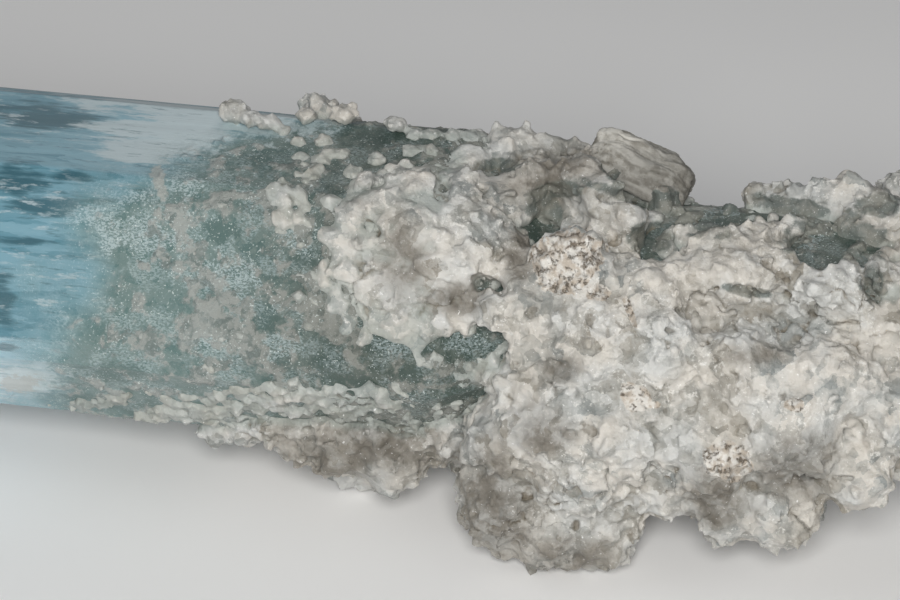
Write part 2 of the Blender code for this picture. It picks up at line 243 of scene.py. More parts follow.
def polar(points):
    """(along, turn, out) of an array of points."""
    down, up = AXIS_Y - points[:, 1], points[:, 2] - AXIS_HEIGHT
    return points[:, 0] - TIP_X, np.degrees(np.arctan2(up, down)), np.hypot(down, up)


def edge_at(pairs, turn):
    """How far along an edge lies at each turn, from its pairs of turn and along."""
    turns, places = np.array(pairs, float).T
    return np.interp(turn, turns, places)


def axes_at(turn):
    """Axes along the prism, round it and out of it."""
    length, out = Vector((1, 0, 0)), outward(turn)
    return Matrix((length, out.cross(length), out)).transposed()


def from_polar(along, turn, out):
    angle = np.radians(turn)
    return np.stack([TIP_X + along, AXIS_Y - out * np.cos(angle), AXIS_HEIGHT + out * np.sin(angle)], -1)


# ---- the camera, and places as it sees them --------------------------------------------------

VIEW_AZIMUTH = 11.3
VIEW_ELEVATION = 30.0
VIEW_DISTANCE = 380.0
AIM_ALONG = 63.9
AIM_DROP = 1.0
VIEW_WIDTH = 90.0
SENSOR = 36.0
FRAME_WIDTH = 900
FRAME_HEIGHT = 600

# Marks on the specimen, each an ellipse in the 900 by 600 frame: centre x and y, half-width,
# half-height, tilt in degrees.
CRUST_WINDOWS = (
    (488, 285, 21, 11, -25), (372, 232, 4, 12, 30), (655, 238, 18, 18, 20), (704, 208, 42, 17, -4),
    (790, 209, 50, 12, -8), (822, 242, 32, 22, 0), (862, 254, 14, 12, 0), (869, 286, 7, 18, 20),
    (452, 245, 5, 4, 0), (492, 168, 9, 7, 0), (446, 184, 6, 4, 0), (632, 197, 34, 8, -12),
    (470, 352, 40, 26, 0), (466, 397, 34, 9, 0), (486, 412, 9, 12, 0), (745, 288, 20, 4, -12),
)
CRUST_PITS = (
    (532, 312, 6, 7, 0), (591, 321, 5, 7, 0), (517, 364, 4, 4, 0), (553, 388, 6, 9, 20),
    (588, 431, 9, 6, -10), (488, 466, 10, 5, 10), (527, 498, 6, 5, 0), (576, 527, 3, 5, 0),
    (783, 396, 4, 6, 40), (665, 412, 5, 3, 0), (842, 478, 12, 2, 0), (756, 488, 9, 5, -20),
    (672, 330, 7, 3, 0), (708, 343, 5, 5, 0), (735, 375, 3, 5, 20), (400, 428, 14, 5, -20),
    (340, 398, 12, 4, 0), (308, 428, 8, 4, 0), (432, 448, 6, 22, 0), (370, 225, 4, 12, 35),
    (440, 195, 7, 6, 0), (474, 168, 9, 4, 30), (773, 268, 4, 22, 50), (800, 305, 3, 26, 50),
)
CHALK = (
    (566, 262, 38, 32, 30), (636, 398, 17, 13, -30), (728, 462, 24, 20, -35), (630, 312, 4, 16, 20),
    (795, 405, 10, 8, 0), (598, 292, 12, 9, 0), (655, 405, 6, 4, 0),
)
# Brown stains, with painted shade under the prism and on the lower lumps in the same marks.
BROWN_STAINS_AND_SHADE = (
    (350, 450, 100, 34, 5), (490, 525, 50, 50, 0), (560, 560, 50, 20, 0), (545, 430, 30, 22, 0),
    (715, 500, 34, 30, 0), (520, 250, 14, 30, 0), (560, 372, 22, 16, 0), (800, 470, 40, 30, 0),
    (455, 300, 26, 14, 0), (632, 160, 46, 22, -25), (760, 355, 30, 12, 0), (884, 178, 14, 16, 0),
    (400, 265, 24, 34, 20), (555, 170, 60, 24, 10), (480, 500, 40, 60, 0),
)
DEEP_CLEAR = (
    (45, 116, 62, 15, -4), (18, 180, 34, 20, 0), (22, 241, 36, 5, -3), (4, 300, 14, 34, 0),
    (70, 176, 26, 10, 0), (60, 205, 70, 12, 0), (8, 347, 16, 5, 0),
)
DEEP_FROSTED = (
    (266, 315, 17, 17, -30), (385, 343, 42, 15, -8), (352, 392, 26, 20, 0), (465, 342, 26, 16, 0),
    (462, 397, 36, 9, 0), (118, 372, 34, 9, 0), (305, 258, 14, 12, 0), (222, 232, 20, 14, 0),
    (415, 385, 20, 26, 0), (265, 158, 30, 10, 0), (60, 398, 30, 8, 0), (390, 140, 60, 12, -8),
    (150, 408, 40, 8, 0), (330, 365, 14, 24, 0),
)
# Painted sheen on the smooth top face, and a real pale patch low at the tip end.
PALE_AND_SHEEN_AREAS = (
    (205, 114, 120, 20, -5), (170, 130, 80, 20, -5), (145, 150, 44, 14, 0), (20, 380, 40, 16, 0),
)
# Where painted glitter goes on the etched faces: pale ripples that stand for light glittering off them.
PAINTED_GLITTER_AREAS = (
    (184, 184, 20, 14, 0), (153, 238, 26, 20, 0), (108, 232, 12, 20, 0), (130, 197, 18, 8, 0),
    (231, 276, 30, 19, 0), (284, 346, 18, 14, 0), (297, 241, 13, 9, -30), (210, 342, 22, 9, 0),
    (470, 345, 26, 10, 0), (395, 345, 26, 9, 0), (172, 140, 24, 12, 0), (690, 240, 22, 20, 0),
    (805, 240, 16, 12, 0), (90, 215, 24, 9, 0), (725, 205, 22, 12, 0),
)
FLECKED = (
    (75, 390, 60, 16, 5), (200, 400, 70, 22, 5), (270, 380, 60, 30, 0), (290, 210, 36, 40, 0),
    (210, 330, 60, 40, 0), (320, 420, 60, 14, 5), (180, 375, 50, 16, 0), (430, 420, 40, 14, 0),
    (480, 372, 26, 12, 0), (420, 320, 50, 14, 0), (20, 392, 24, 10, 0), (340, 300, 30, 60, 0),
    (185, 262, 26, 16, 0), (330, 400, 40, 12, 0), (220, 205, 24, 18, 0),
)
# Where it is thick: the strip of crumbs along the prism's foot, and beside the coating.
CLUMPED = (
    (330, 402, 100, 13, 2), (240, 400, 55, 15, 8), (180, 402, 26, 8, 5), (290, 205, 22, 26, 0),
    (268, 392, 24, 12, 0), (430, 424, 34, 9, 0), (310, 165, 20, 10, 0), (120, 398, 26, 4, 5),
    (60, 407, 80, 4, 4), (160, 416, 60, 5, 4),
)
SMOOTH_BAND = ((190, 112, 130, 22, -5), (30, 230, 44, 120, 0))
TAN_SPOTS = ((157, 177, 9, 13, 10), (163, 193, 6, 7, 0), (20, 383, 24, 10, 0))
THIN_CRUST = ((430, 265, 105, 110, 0), (480, 340, 60, 60, 0))
# Smoky glassy quartz along the top, darkened further by painted shade where it lies in hollows.
SMOKY_AND_SHADED_AREAS = (
    (640, 196, 60, 10, -12), (700, 212, 44, 24, -10), (655, 240, 22, 16, 0), (790, 206, 50, 10, -8),
    (840, 240, 56, 22, 0), (872, 285, 12, 22, 0), (745, 290, 24, 6, -10), (543, 205, 18, 22, 0),
    (500, 165, 22, 8, 0), (620, 172, 16, 30, 30), (880, 205, 20, 14, 0), (560, 190, 30, 8, 0),
)
# Knobs of crust on the bare prism: centre x and y in the frame, half-size in millimetres.
KNOBS = (
    (316, 112, 2.1), (325, 118, 1.8), (345, 122, 1.7), (306, 120, 1.3), (235, 119, 1.9),
    (250, 124, 1.5), (268, 127, 1.3), (284, 129, 1.0), (276, 190, 1.1), (322, 140, 1.1),
    (352, 172, 1.2), (366, 186, 1.3), (384, 176, 1.2), (396, 130, 1.3), (413, 133, 1.1),
    (432, 133, 1.1), (452, 134, 1.2), (470, 135, 1.2), (376, 158, 1.2), (410, 150, 1.1),
    (342, 152, 1.0), (298, 140, 1.0), (330, 152, 0.9),
)



def direction(azimuth, elevation):
    """From the specimen towards a camera or a lamp."""
    a, e = math.radians(azimuth), math.radians(elevation)
    return Vector((math.sin(a) * math.cos(e), -math.cos(a) * math.cos(e), math.sin(e)))


def view_axes():
    a, back = math.radians(VIEW_AZIMUTH), direction(VIEW_AZIMUTH, VIEW_ELEVATION)
    right = Vector((math.cos(a), math.sin(a), 0))
    return right, back.cross(right), back


def aim_point():
    return around(AIM_ALONG, 0, 0) - view_axes()[1] * AIM_DROP


def seen_at(points):
    """(x, y) in the 900 by 600 frame of each point."""
    right, up, back = (np.array(axis) for axis in view_axes())
    rest = points - np.array(aim_point())
    size = FRAME_WIDTH / VIEW_WIDTH * VIEW_DISTANCE / (VIEW_DISTANCE - rest @ back)
    return FRAME_WIDTH / 2 + size * (rest @ right), FRAME_HEIGHT / 2 - size * (rest @ up)


def on_prism(x, y):
    """(along, turn) of the place on the prism's bare faces that shows at x, y in the frame."""
    along, rise = AIM_ALONG, 0.0
    for _ in range(12):
        turn = VIEW_ELEVATION + math.degrees(math.asin(max(-1.0, min(1.0, rise))))
        out = prism_radius([along], [turn])
        seen_x, seen_y = seen_at(from_polar(np.array([along]), np.array([turn]), out))
        along += float(x - seen_x[0]) * VIEW_WIDTH / FRAME_WIDTH
        rise += float(seen_y[0] - y) * VIEW_WIDTH / FRAME_WIDTH / float(out[0])
    return along, turn


def marked(points, marks, ragged=0.35, soft=0.5, grain=1.6):
    """How strongly each point on the camera's side lies in the marks: 1 inside, 0 outside.

    Their edges wander by the share ragged, with a noise as coarse as grain, and fade over soft.
    """
    x, y = seen_at(points)
    up = np.stack([np.zeros(len(points)), points[:, 1] - AXIS_Y, points[:, 2] - AXIS_HEIGHT], -1)
    up /= np.linalg.norm(up, axis=1, keepdims=True) + 1e-9
    facing = smooth_step(up @ np.array(view_axes()[2]), 0.0, 0.15)
    wander = ragged * rough_noise(points, grain, 201, 3)
    total = np.zeros(len(points))
    for at_x, at_y, half_x, half_y, tilt in marks:
        c, s = math.cos(math.radians(tilt)), math.sin(math.radians(tilt))
        u = ((x - at_x) * c - (y - at_y) * s) / half_x
        v = ((x - at_x) * s + (y - at_y) * c) / half_y
        total = np.maximum(total, 1 - smooth_step(np.hypot(u, v) + wander, 1 - soft, 1 + soft))
    return total * facing


# ---- noise over arrays of points -------------------------------------------------------------


def lattice_hash(cell, salt):
    """A fixed number in 0..1 for each whole-numbered cell."""
    n = cell[..., 0] * 73856093 ^ cell[..., 1] * 19349663 ^ cell[..., 2] * 83492791 ^ salt * 40503001
    n = (n ^ (n >> 13)) & 0xFFFFFFFF
    n = n * 1274126177 & 0xFFFFFFFF
    n = (n ^ (n >> 15)) * 668265263 & 0xFFFFFFFF
    return ((n ^ (n >> 16)) & 0xFFFFFF) / 0xFFFFFF


def soft_noise(points, size, salt):
    """Smooth noise in -1..1 whose lumps are about that size."""
    p = points / size
    base = np.floor(p).astype(np.int64)
    f = p - base
    f = f * f * (3 - 2 * f)
    total = np.zeros(len(p))
    for corner in range(8):
        step = np.array([corner & 1, corner >> 1 & 1, corner >> 2 & 1])
        weight = np.prod(np.where(step, f, 1 - f), axis=1)
        total += weight * lattice_hash(base + step, salt)
    return total * 2 - 1


def rough_noise(points, size, salt, octaves=4):
    total, most = 0, 0
    for octave in range(octaves):
        total = total + soft_noise(points, size / 2**octave, salt + octave) * 0.55**octave
        most += 0.55**octave
    return total / most


def bent(points, by, size, salt):
    """The points pushed about by a noise."""
    return points + by * np.stack([soft_noise(points, size, salt + k) for k in range(3)], -1)


def cell_noise(points, size, salt):
    """How far, in cells, each point is from the nearest scattered spot, and from the next."""
    p = points / size
    base = np.floor(p).astype(np.int64)
    near = np.full(len(p), 9.0)
    after = np.full(len(p), 9.0)
    for i in range(27):
        cell = base + np.array([i % 3 - 1, i // 3 % 3 - 1, i // 9 - 1])
        spot = cell + np.stack([lattice_hash(cell, salt + k) for k in range(3)], -1)
        gap = np.linalg.norm(spot - p, axis=1)
        closer = gap < near
        after = np.where(closer, near, np.minimum(after, gap))
        near = np.where(closer, gap, near)
    return near, after


# ---- meshes ----------------------------------------------------------------------------------


def mesh_from(name, points, faces):
    """A mesh in metres from arrays in millimetres: faces is one row of corners for each face."""
    mesh = bpy.data.meshes.new(name)
    sides = faces.shape[1]
    mesh.vertices.add(len(points))
    mesh.vertices.foreach_set("co", (points * MM).astype(np.float32).ravel())
    mesh.loops.add(faces.size)
    mesh.loops.foreach_set("vertex_index", faces.astype(np.int32).ravel())
    mesh.polygons.add(len(faces))
    mesh.polygons.foreach_set("loop_start", np.arange(0, faces.size, sides, dtype=np.int32))
    mesh.update(calc_edges=True)
    mesh.validate()
    return mesh


def read(items, name, width, kind=np.float32):
    """What each vertex, edge or triangle of a mesh holds, one row for each."""
    flat = np.empty(len(items) * width, kind)
    items.foreach_get(name, flat)
    return flat.reshape(-1, width)


def points_of(mesh):
    return read(mesh.vertices, "co", 3).astype(float) / MM


def normals_of(mesh):
    return read(mesh.vertices, "normal", 3).astype(float)


def triangles_of(mesh):
    mesh.calc_loop_triangles()
    return read(mesh.loop_triangles, "vertices", 3, np.int32)


def move_points(mesh, points):
    mesh.vertices.foreach_set("co", (points * MM).astype(np.float32).ravel())
    mesh.update()


def smoothed(mesh, points, rounds):
    """Each point averaged with its neighbours, that many times over."""
    edges, count = read(mesh.edges, "vertices", 2, np.int32), len(points)
    ends = np.concatenate([edges[:, 0], edges[:, 1]])
    others = np.concatenate([edges[:, 1], edges[:, 0]])
    degree = np.maximum(np.bincount(ends, minlength=count), 1)[:, None]
    for _ in range(rounds):
        sums = [np.bincount(ends, weights=points[others, k], minlength=count) for k in range(3)]
        points = 0.5 * points + 0.5 * np.stack(sums, -1) / degree
    return points


def store(mesh, name, values):
    """A number for each point, which the material reads."""
    attribute = mesh.attributes.new(name, "FLOAT", "POINT")
    attribute.data.foreach_set("value", np.asarray(values, np.float32))


def store_hollow(mesh, points):
    """How far each point lies below its surroundings, which the material reads."""
    soft = smoothed(mesh, points, HOLLOW_ROUNDS)
    store(mesh, "hollow", ((soft - points) * normals_of(mesh)).sum(axis=1))


def new_object(name, mesh, material=None):
    obj = bpy.data.objects.new(name, mesh)
    bpy.context.scene.collection.objects.link(obj)
    if material:
        mesh.materials.clear()
        mesh.materials.append(material)
    return obj


def grown_together(name, points, faces, voxel):
    """The union of overlapping closed forms, as one mesh of small quads."""
    obj = new_object(name, mesh_from(name, points, faces))
    remesh = obj.modifiers.new("grown_together", "REMESH")
    remesh.mode = "VOXEL"
    remesh.voxel_size = voxel * MM
    graph = bpy.context.evaluated_depsgraph_get()
    mesh = bpy.data.meshes.new_from_object(obj.evaluated_get(graph))
    old = obj.data
    bpy.data.objects.remove(obj)
    bpy.data.meshes.remove(old)
    return mesh


def arrays_of(bm):
    """(points, faces) of a form being edited, which is then let go."""
    bm.verts.index_update()
    points = np.array([v.co[:] for v in bm.verts])
    faces = np.array([[v.index for v in f.verts] for f in bm.faces])
    bm.free()
    return points, faces


def ball():
    bm = bmesh.new()
    bmesh.ops.create_icosphere(bm, subdivisions=BALL_SUBDIVISIONS, radius=1)
    return arrays_of(bm)


def many(faces, shapes):
    """(points, faces) of a template repeated, one for each row of shaped points."""
    offsets = np.arange(len(shapes))[:, None, None] * shapes.shape[1]
    return shapes.reshape(-1, 3), (faces[None] + offsets).reshape(-1, 3)


def joined(*forms):
    """(points, faces) of several forms as one."""
    points, faces, count = [], [], 0
    for more_points, more_faces in forms:
        points.append(more_points)
        faces.append(more_faces + count)
        count += len(more_points)
    return np.concatenate(points), np.concatenate(faces)


def stones(chance):
    """Angular stones to repeat, (points, faces) of each: hulls of a few points of a ball."""
    kinds = []
    for _ in range(STONE_KINDS):
        spots = chance.normal(size=(STONE_CORNERS, 3))
        spots /= np.linalg.norm(spots, axis=1, keepdims=True)
        spots = np.sign(spots) * np.abs(spots) ** STONE_BOXINESS
        bm = bmesh.new()
        for spot in spots:
            bm.verts.new(spot)
        bmesh.ops.convex_hull(bm, input=bm.verts)
        bmesh.ops.delete(bm, geom=[v for v in bm.verts if not v.link_faces], context="VERTS")
        bmesh.ops.recalc_face_normals(bm, faces=bm.faces)
        kinds.append(arrays_of(bm))
    return kinds


def tumbled(chance, count):
    """Random rotations, one matrix for each."""
    w, x, y, z = (q := chance.normal(size=(count, 4))).T / np.linalg.norm(q, axis=1)
    rows = (
        (1 - 2 * (y * y + z * z), 2 * (x * y - z * w), 2 * (x * z + y * w)),
        (2 * (x * y + z * w), 1 - 2 * (x * x + z * z), 2 * (y * z - x * w)),
        (2 * (x * z - y * w), 2 * (y * z + x * w), 1 - 2 * (x * x + y * y)),
    )
    return np.stack([np.stack(row, -1) for row in rows], 1)


def strewn(chance, kinds, centres, halves, flat=0.6):
    """Stones of these half-sizes, turned every way, one at each centre.

    For each kind, (which centres have it, their shapes, its faces).
    """
    count = len(centres)
    turned = tumbled(chance, count)
    stretch = halves[:, None] * chance.uniform(0.75, 1.25, size=(count, 3)) * np.array([1, 0.85, flat])
    which = chance.randint(len(kinds), size=count)
    laid = []
    for kind, (dirs, faces) in enumerate(kinds):
        mine = np.where(which == kind)[0]
        shapes = centres[mine, None] + np.einsum("vk,gk,gkj->gvj", dirs, stretch[mine], turned[mine])
        laid.append((mine, shapes, faces))
    return laid


def picked(laid, wanted):
    """(points, faces) of those stones for which wanted is true."""
    return joined(*(many(faces, shapes[wanted[mine]]) for mine, shapes, faces in laid))


def scattered_on(chance, mesh, per_mm2, keep):
    """Points strewn evenly over a mesh, with their normals: those for which keep is true."""
    tri = points_of(mesh)[triangles_of(mesh)]
    cross = np.cross(tri[:, 1] - tri[:, 0], tri[:, 2] - tri[:, 0])
    area = np.linalg.norm(cross, axis=1) / 2
    count = int(area.sum() * per_mm2)
    pick = chance.choice(len(tri), count, p=area / area.sum())
    u, v = chance.uniform(size=(2, count))
    flip = u + v > 1
    u, v = np.where(flip, 1 - u, u), np.where(flip, 1 - v, v)
    a, b, c = tri[pick, 0], tri[pick, 1], tri[pick, 2]
    at = a + (b - a) * u[:, None] + (c - a) * v[:, None]
    normal = cross[pick] / (2 * area[pick, None] + 1e-12)
    kept = keep(at)
    return at[kept], normal[kept]


# ---- the prism -------------------------------------------------------------------------------


def film(along, turn):
    """Where thin broken crust lies on the etched faces: over 0 where it does, and the more the thicker."""
    at = from_polar(along, turn, prism_radius(along, turn))
    to_coating = edge_at(COATING_EDGE, turn) - along
    amount = -0.02 - 0.10 * smooth_step(to_coating, 0, 30) - 0.5 * (1 - frosted(along, turn))
    amount += 0.22 * marked(at, FLECKED, 0.4, 0.6, 3.0) - 0.2 * marked(at, DEEP_FROSTED, 0.3, 0.4, 2.0)
    amount -= 0.35 * marked(at, SMOOTH_BAND, 0.2, 0.4, 3.0)
    return rough_noise(bent(at, 0.8, 1.5, 231), 1.7, 241, 5) + amount


def crystal_surface(along, turn):
    """How far out the real surface is: the faces, ribbed lengthwise, etched and filmed with crust."""
    out = prism_radius(along, turn)
    flat = from_polar(along, turn, out)
    ribs = 0.5 + 0.5 * rough_noise(flat * np.array([0.05, 1, 1]), 2.6, 11, 4)
    away = smooth_step(along, 1.0, 6.0)
    pits = frosted(along, turn) * (0.5 - 0.5 * rough_noise(flat, 1.4, 31, 3))
    cover = FILM_DEPTH * smooth_step(film(along, turn), -0.02, 0.35)
    return out - away * (RIB_DEPTH * ribs + PIT_DEPTH * pits) + cover * away


def make_crystal(material):
    fine_to, fine_count = FINE_ALONG
    fine = np.linspace(0, fine_to, fine_count, endpoint=False)
    coarse = np.linspace(fine_to, CRYSTAL_LENGTH, COARSE_ALONG_RINGS)
    stations = np.concatenate([fine, coarse])
    low, high, count = FINE_TURNS
    fine = np.linspace(low, high, count, endpoint=False)
    coarse = np.linspace(high, low + 360, COARSE_TURNS, endpoint=False)
    turns = np.sort(turn_between(np.concatenate([fine, coarse]), 0))
    rings_count, turns_count = len(stations) - 1, len(turns)
    along, turn = (a.ravel() for a in np.meshgrid(stations, turns, indexing="ij"))
    out = crystal_surface(along, turn)
    rings = [from_polar(along, turn, out)]
    first = out[:turns_count]
    for i in range(1, CAP_RINGS):
        rings.append(from_polar(np.zeros(turns_count), turns, first * (1 - i / CAP_RINGS)))
    ends = from_polar(np.array([0, CRYSTAL_LENGTH]), np.zeros(2), np.zeros(2))
    points = np.concatenate([*rings, ends])
    i, j = np.meshgrid(np.arange(rings_count), np.arange(turns_count), indexing="ij")
    k = (j + 1) % turns_count
    a, b = i * turns_count, (i + 1) * turns_count
    walls = np.stack([a + j, a + k, b + k, b + j], -1).reshape(-1, 4)
    side_count = (rings_count + 1) * turns_count
    j = np.arange(turns_count)
    k = (j + 1) % turns_count
    starts = [0, *(side_count + turns_count * m for m in range(CAP_RINGS - 1))]
    cap = [np.stack([s + k, s + j, e + j, e + k], -1) for s, e in zip(starts, starts[1:])]
    tip, end = len(points) - 2, len(points) - 1
    inner, rim = starts[-1], rings_count * turns_count
    quads = np.concatenate([walls, *cap])
    tip_fan = np.stack([inner + k, inner + j, np.full_like(j, tip)], -1)
    end_fan = np.stack([rim + j, rim + k, np.full_like(j, end)], -1)
    halves = np.concatenate([quads[:, [0, 1, 2]], quads[:, [0, 2, 3]], tip_fan, end_fan])
    mesh = mesh_from("crystal", points, halves)
    mesh.shade_smooth()
    mesh.set_sharp_from_angle(angle=math.radians(EDGE_ANGLE))
    along, turn, _ = polar(points)
    store(mesh, "along", along)
    store(mesh, "frost", frosted(along, turn))
    for name, marks, grain in (
        ("deep", DEEP_CLEAR, 2.5), ("dark", DEEP_FROSTED, 1.8), ("pale", PALE_AND_SHEEN_AREAS, 4.0),
        ("painted_glitter", PAINTED_GLITTER_AREAS, 1.8), ("tan", TAN_SPOTS, 1.2),
    ):
        store(mesh, name, marked(points, marks, 0.4, 1, grain))
    store(mesh, "film", film(along, turn))
    obj = new_object("crystal", mesh, material)
    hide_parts("aquamarine_crystal")
    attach(obj, "root")


def frosted(along, turn):
    """0 on the clear faces of the blue end, 1 where the prism is etched dull."""
    edge = edge_at(FROST_EDGE, turn)
    where = np.stack([along, turn * 0.28, turn * 0 + 5], -1)
    ragged = 5 * rough_noise(where, 6.0, 61, 4)
    return smooth_step(along + ragged, edge - 3, edge + 9)


# ---- the crust -------------------------------------------------------------------------------


def edge_of_coating(turn):
    for (turn_a, along_a), (turn_b, along_b) in zip(COATING_EDGE, COATING_EDGE[1:]):
        if turn_a <= turn <= turn_b:
            return along_a + (along_b - along_a) * float(smooth_step(turn, turn_a, turn_b))
    return COATING_END


def is_bare(along, turn):
    return any(
        ((along - at) / half_along) ** 2 + (turn_between(turn, at_turn) / half_turn) ** 2 < 1
        for at, at_turn, half_along, half_turn in WINDOWS
    )


def coating_grains(chance):
    rings = int(COATING_END / GRAIN_STEP)
    for ring in range(rings):
        along = (ring + 0.5) * GRAIN_STEP
        radius = float(prism_radius(along, 0))
        count = round(2 * math.pi * radius / GRAIN_STEP)
        for i in range(count):
            turn = -180 + 360 * (i + 0.5 * (ring % 2) + chance.uniform(-0.2, 0.2)) / count
            at = along + chance.uniform(-0.6, 0.6)
            half = GRAIN_HALF * chance.uniform(0.75, 1.2)
            lift = chance.uniform(-0.9, 0.1)
            turn = turn_between(turn, 0)
            if at > edge_of_coating(turn) and not is_bare(at, turn):
                yield at, turn, float(prism_radius(at, turn)) + lift, half, half, half


def lump_points(lump, chance, dirs):
    """A dented, leaning ball of the lump's half-sizes."""
    along, turn, out, *half = lump
    offset = Vector([chance.uniform(0, 50) for _ in range(3)])
    dents = np.array([1 + LUMP_DENT * noise.noise(Vector(d) * 1.8 + offset) for d in dirs])
    lean = Matrix.Rotation(chance.uniform(-LUMP_LEAN, LUMP_LEAN), 3, "Z")
    shape = np.array(axes_at(turn) @ lean @ Matrix.Diagonal(Vector(half)))
    return (dirs * dents[:, None]) @ shape.T + np.array(around(along, turn, out))


def base_form():
    """(faces of a ball, points of each ball) of the solid's lumps and grains."""
    chance = random.Random(SEED)
    dirs, faces = ball()
    return faces, np.array([lump_points(lump, chance, dirs) for lump in (*LUMPS, *coating_grains(chance))])


def base_mesh(name, faces, shapes):
    """The lumps grown together, broken up by the coarse relief, with the windows open in them."""
    base = grown_together(name, *many(faces, shapes), BASE_VOXEL)
    at = points_of(base)
    move_points(base, opened(thin_at_rim(at + normals_of(base) * base_relief(at)[:, None])))
    return base


def outside(points, least=0.25):
    """Which points of the crust are on its open side, and not in a window or on the floor."""
    along, turn, out = polar(points)
    open_side = (out > prism_radius(along, turn) + least) | (along > CRYSTAL_LENGTH + least)
    open_side &= points[:, 2] > FLOOR_CLEARANCE
    return open_side & (marked(points, CRUST_WINDOWS, 0.5, 0.2, 2.0) < 0.7)


def in_turns(points, low, high):
    turn = polar(points)[1]
    return (turn - low) % 360 < high - low


def hug_prism(points, sink=SKIN_SINK):
    """(points, which were inside): those inside the prism are moved out to just under its face."""
    along, turn, out = polar(points)
    skin = prism_radius(along, turn) - sink
    close = out < skin + FILM_DEPTH
    skin[close] = crystal_surface(along[close], turn[close]) - sink
    inside = (out < skin) & (along < CRYSTAL_LENGTH - 2)
    pushed = from_polar(along, turn, np.where(inside, skin, out))
    pushed[:, 2] = np.maximum(pushed[:, 2], 0)
    return pushed, inside


def rim_share(points):
    """How much of its thickness the coating has: it thins out towards its edge on the prism's front."""
    along, turn, _ = polar(points)
    past = along - edge_at(COATING_EDGE, turn)
    share = RIM_SHARE + (1 - RIM_SHARE) * smooth_step(past, -1.5, RIM_TAPER)
    front = smooth_step(turn, -16, 2) * (1 - smooth_step(turn, 92, 104))
    return 1 - (1 - share) * front


def thin_at_rim(points):
    """Draws the crust down where it is thin, and under the prism's face in places along its edge."""
    along, turn, out = polar(points)
    skin = prism_radius(along, turn)
    share = rim_share(points)
    height = (out - skin) * share * (1 - THINNED * marked(points, THIN_CRUST, 0.2, 0.5, 6.0))
    height -= (1 - share) * (0.3 + 2.2 * rough_noise(points, 2.4, 251, 4))
    return from_polar(along, turn, np.where(out > skin, skin + height, out))


def base_relief(points):
    """The coarse unevenness that breaks the lumps up into knobs."""
    knobs = 0.8 * (0.55 - cell_noise(bent(points, 0.9, 4.0, 51), 4.2, 55)[0])
    return 0.65 * rough_noise(points, 8.0, 45, 3) + knobs - 0.4


def crevices(points):
    """1 along the cracks between clumps, 0 away from them."""
    near, after = cell_noise(bent(points, 0.7, 1.8, 161), 3.4, 171)
    open_here = smooth_step(rough_noise(points, 5.0, 181, 3), 0.10, 0.35)
    return (1 - smooth_step(after - near, 0.02, 0.14)) * open_here


def fine_relief(points):
    """How far the crust's fine grain stands out at each point."""
    return 0.12 * rough_noise(points, 1.0, 101, 3) - 0.4 * crevices(points)


def decimated(mesh, ratio, group_points=None):
    """The mesh with fewer faces: all over, or only among some of its points."""
    obj = new_object("thinned", mesh)
    thin = obj.modifiers.new("thin", "DECIMATE")
    if group_points is not None:
        group = obj.vertex_groups.new(name="hidden")
        group.add(group_points.tolist(), 1.0, "REPLACE")
        thin.vertex_group = "hidden"
    thin.ratio = ratio
    graph = bpy.context.evaluated_depsgraph_get()
    thinned = bpy.data.meshes.new_from_object(obj.evaluated_get(graph))
    bpy.data.objects.remove(obj)
    return thinned


def dress(name, mesh, material, turns, relief, shape, most=MOST_TRIANGLES):
    """Gives a form of crust its relief and shape, seats it on the prism, and puts it in the frame."""
    at, normal = smoothed(mesh, points_of(mesh), SOFTENED), normals_of(mesh)
    free = in_turns(at, *turns)
    free[free] = outside(at[free], 0.1)
    pit, push = np.zeros(len(at)), np.zeros(len(at))
    pit[free] = marked(at[free], CRUST_PITS, 1.0, 0.5, 0.7)
    push[free] = relief(at[free]) - HOLE_DEPTH * pit[free]
    store(mesh, "pit", pit)
    moved, inside = hug_prism(shape(at + normal * push[:, None]))
    move_points(mesh, moved)
    mesh = decimated(mesh, 1 - HIDDEN_CUT * inside.mean(), np.where(inside)[0])
    count = len(triangles_of(mesh))
    if count > most:
        mesh = decimated(mesh, most / count)
    moved = points_of(mesh)
    mesh.shade_smooth()
    mesh.set_sharp_from_angle(angle=math.radians(CRISP_ANGLE))
    along, turn, out = polar(moved)
    store_hollow(mesh, moved)
    store(mesh, "cover", np.maximum(out - prism_radius(along, turn), along - CRYSTAL_LENGTH))
    # the brown and smoky marks hold painted shade as well as real colour
    for label, marks, ragged, soft, grain in (
        ("chalk", CHALK, 0.35, 0.5, 1.6), ("stain_and_shade", BROWN_STAINS_AND_SHADE, 0.5, 0.7, 3.0), ("smoky_and_shaded", SMOKY_AND_SHADED_AREAS, 0.6, 0.6, 2.2),
    ):
        store(mesh, label, marked(moved, marks, ragged, soft, grain))
    obj = new_object(name, mesh, material)
    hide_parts("white_crust")
    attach(obj, "root")


def opened(points):
    """The windows in the crust: the crust there is drawn down to the prism."""
    along, turn, out = polar(points)
    share = 1 - marked(points, CRUST_WINDOWS, 0.45, 0.18, 2.0)
    skin = prism_radius(along, turn) - DRAWN_UNDER
    return from_polar(along, turn, np.where(out > skin, skin + (out - skin) * share, out))


def only_turns(points, low, high):
    """Draws the form down to the prism outside its own turns."""
    along, turn, out = polar(points)
    at = turn + BORDER_WANDER * rough_noise(from_polar(along, turn, 15.0), 6.0, 281, 3)
    gap = np.where((at - low) % 360 <= high - low, 0, np.minimum((at - high) % 360, (low - at) % 360))
    gap = np.radians(gap) * out
    share = 1 - smooth_step(gap, 0.3, 2.0)
    skin, end = prism_radius(along, turn) - DRAWN_UNDER, CRYSTAL_LENGTH - DRAWN_UNDER
    out = np.where(out > skin, skin + (out - skin) * share - BORDER_SLOPE * gap, out)
    along = np.where(along > end, end + (along - end) * share - BORDER_SLOPE * gap, along)
    return from_polar(along, turn, out)


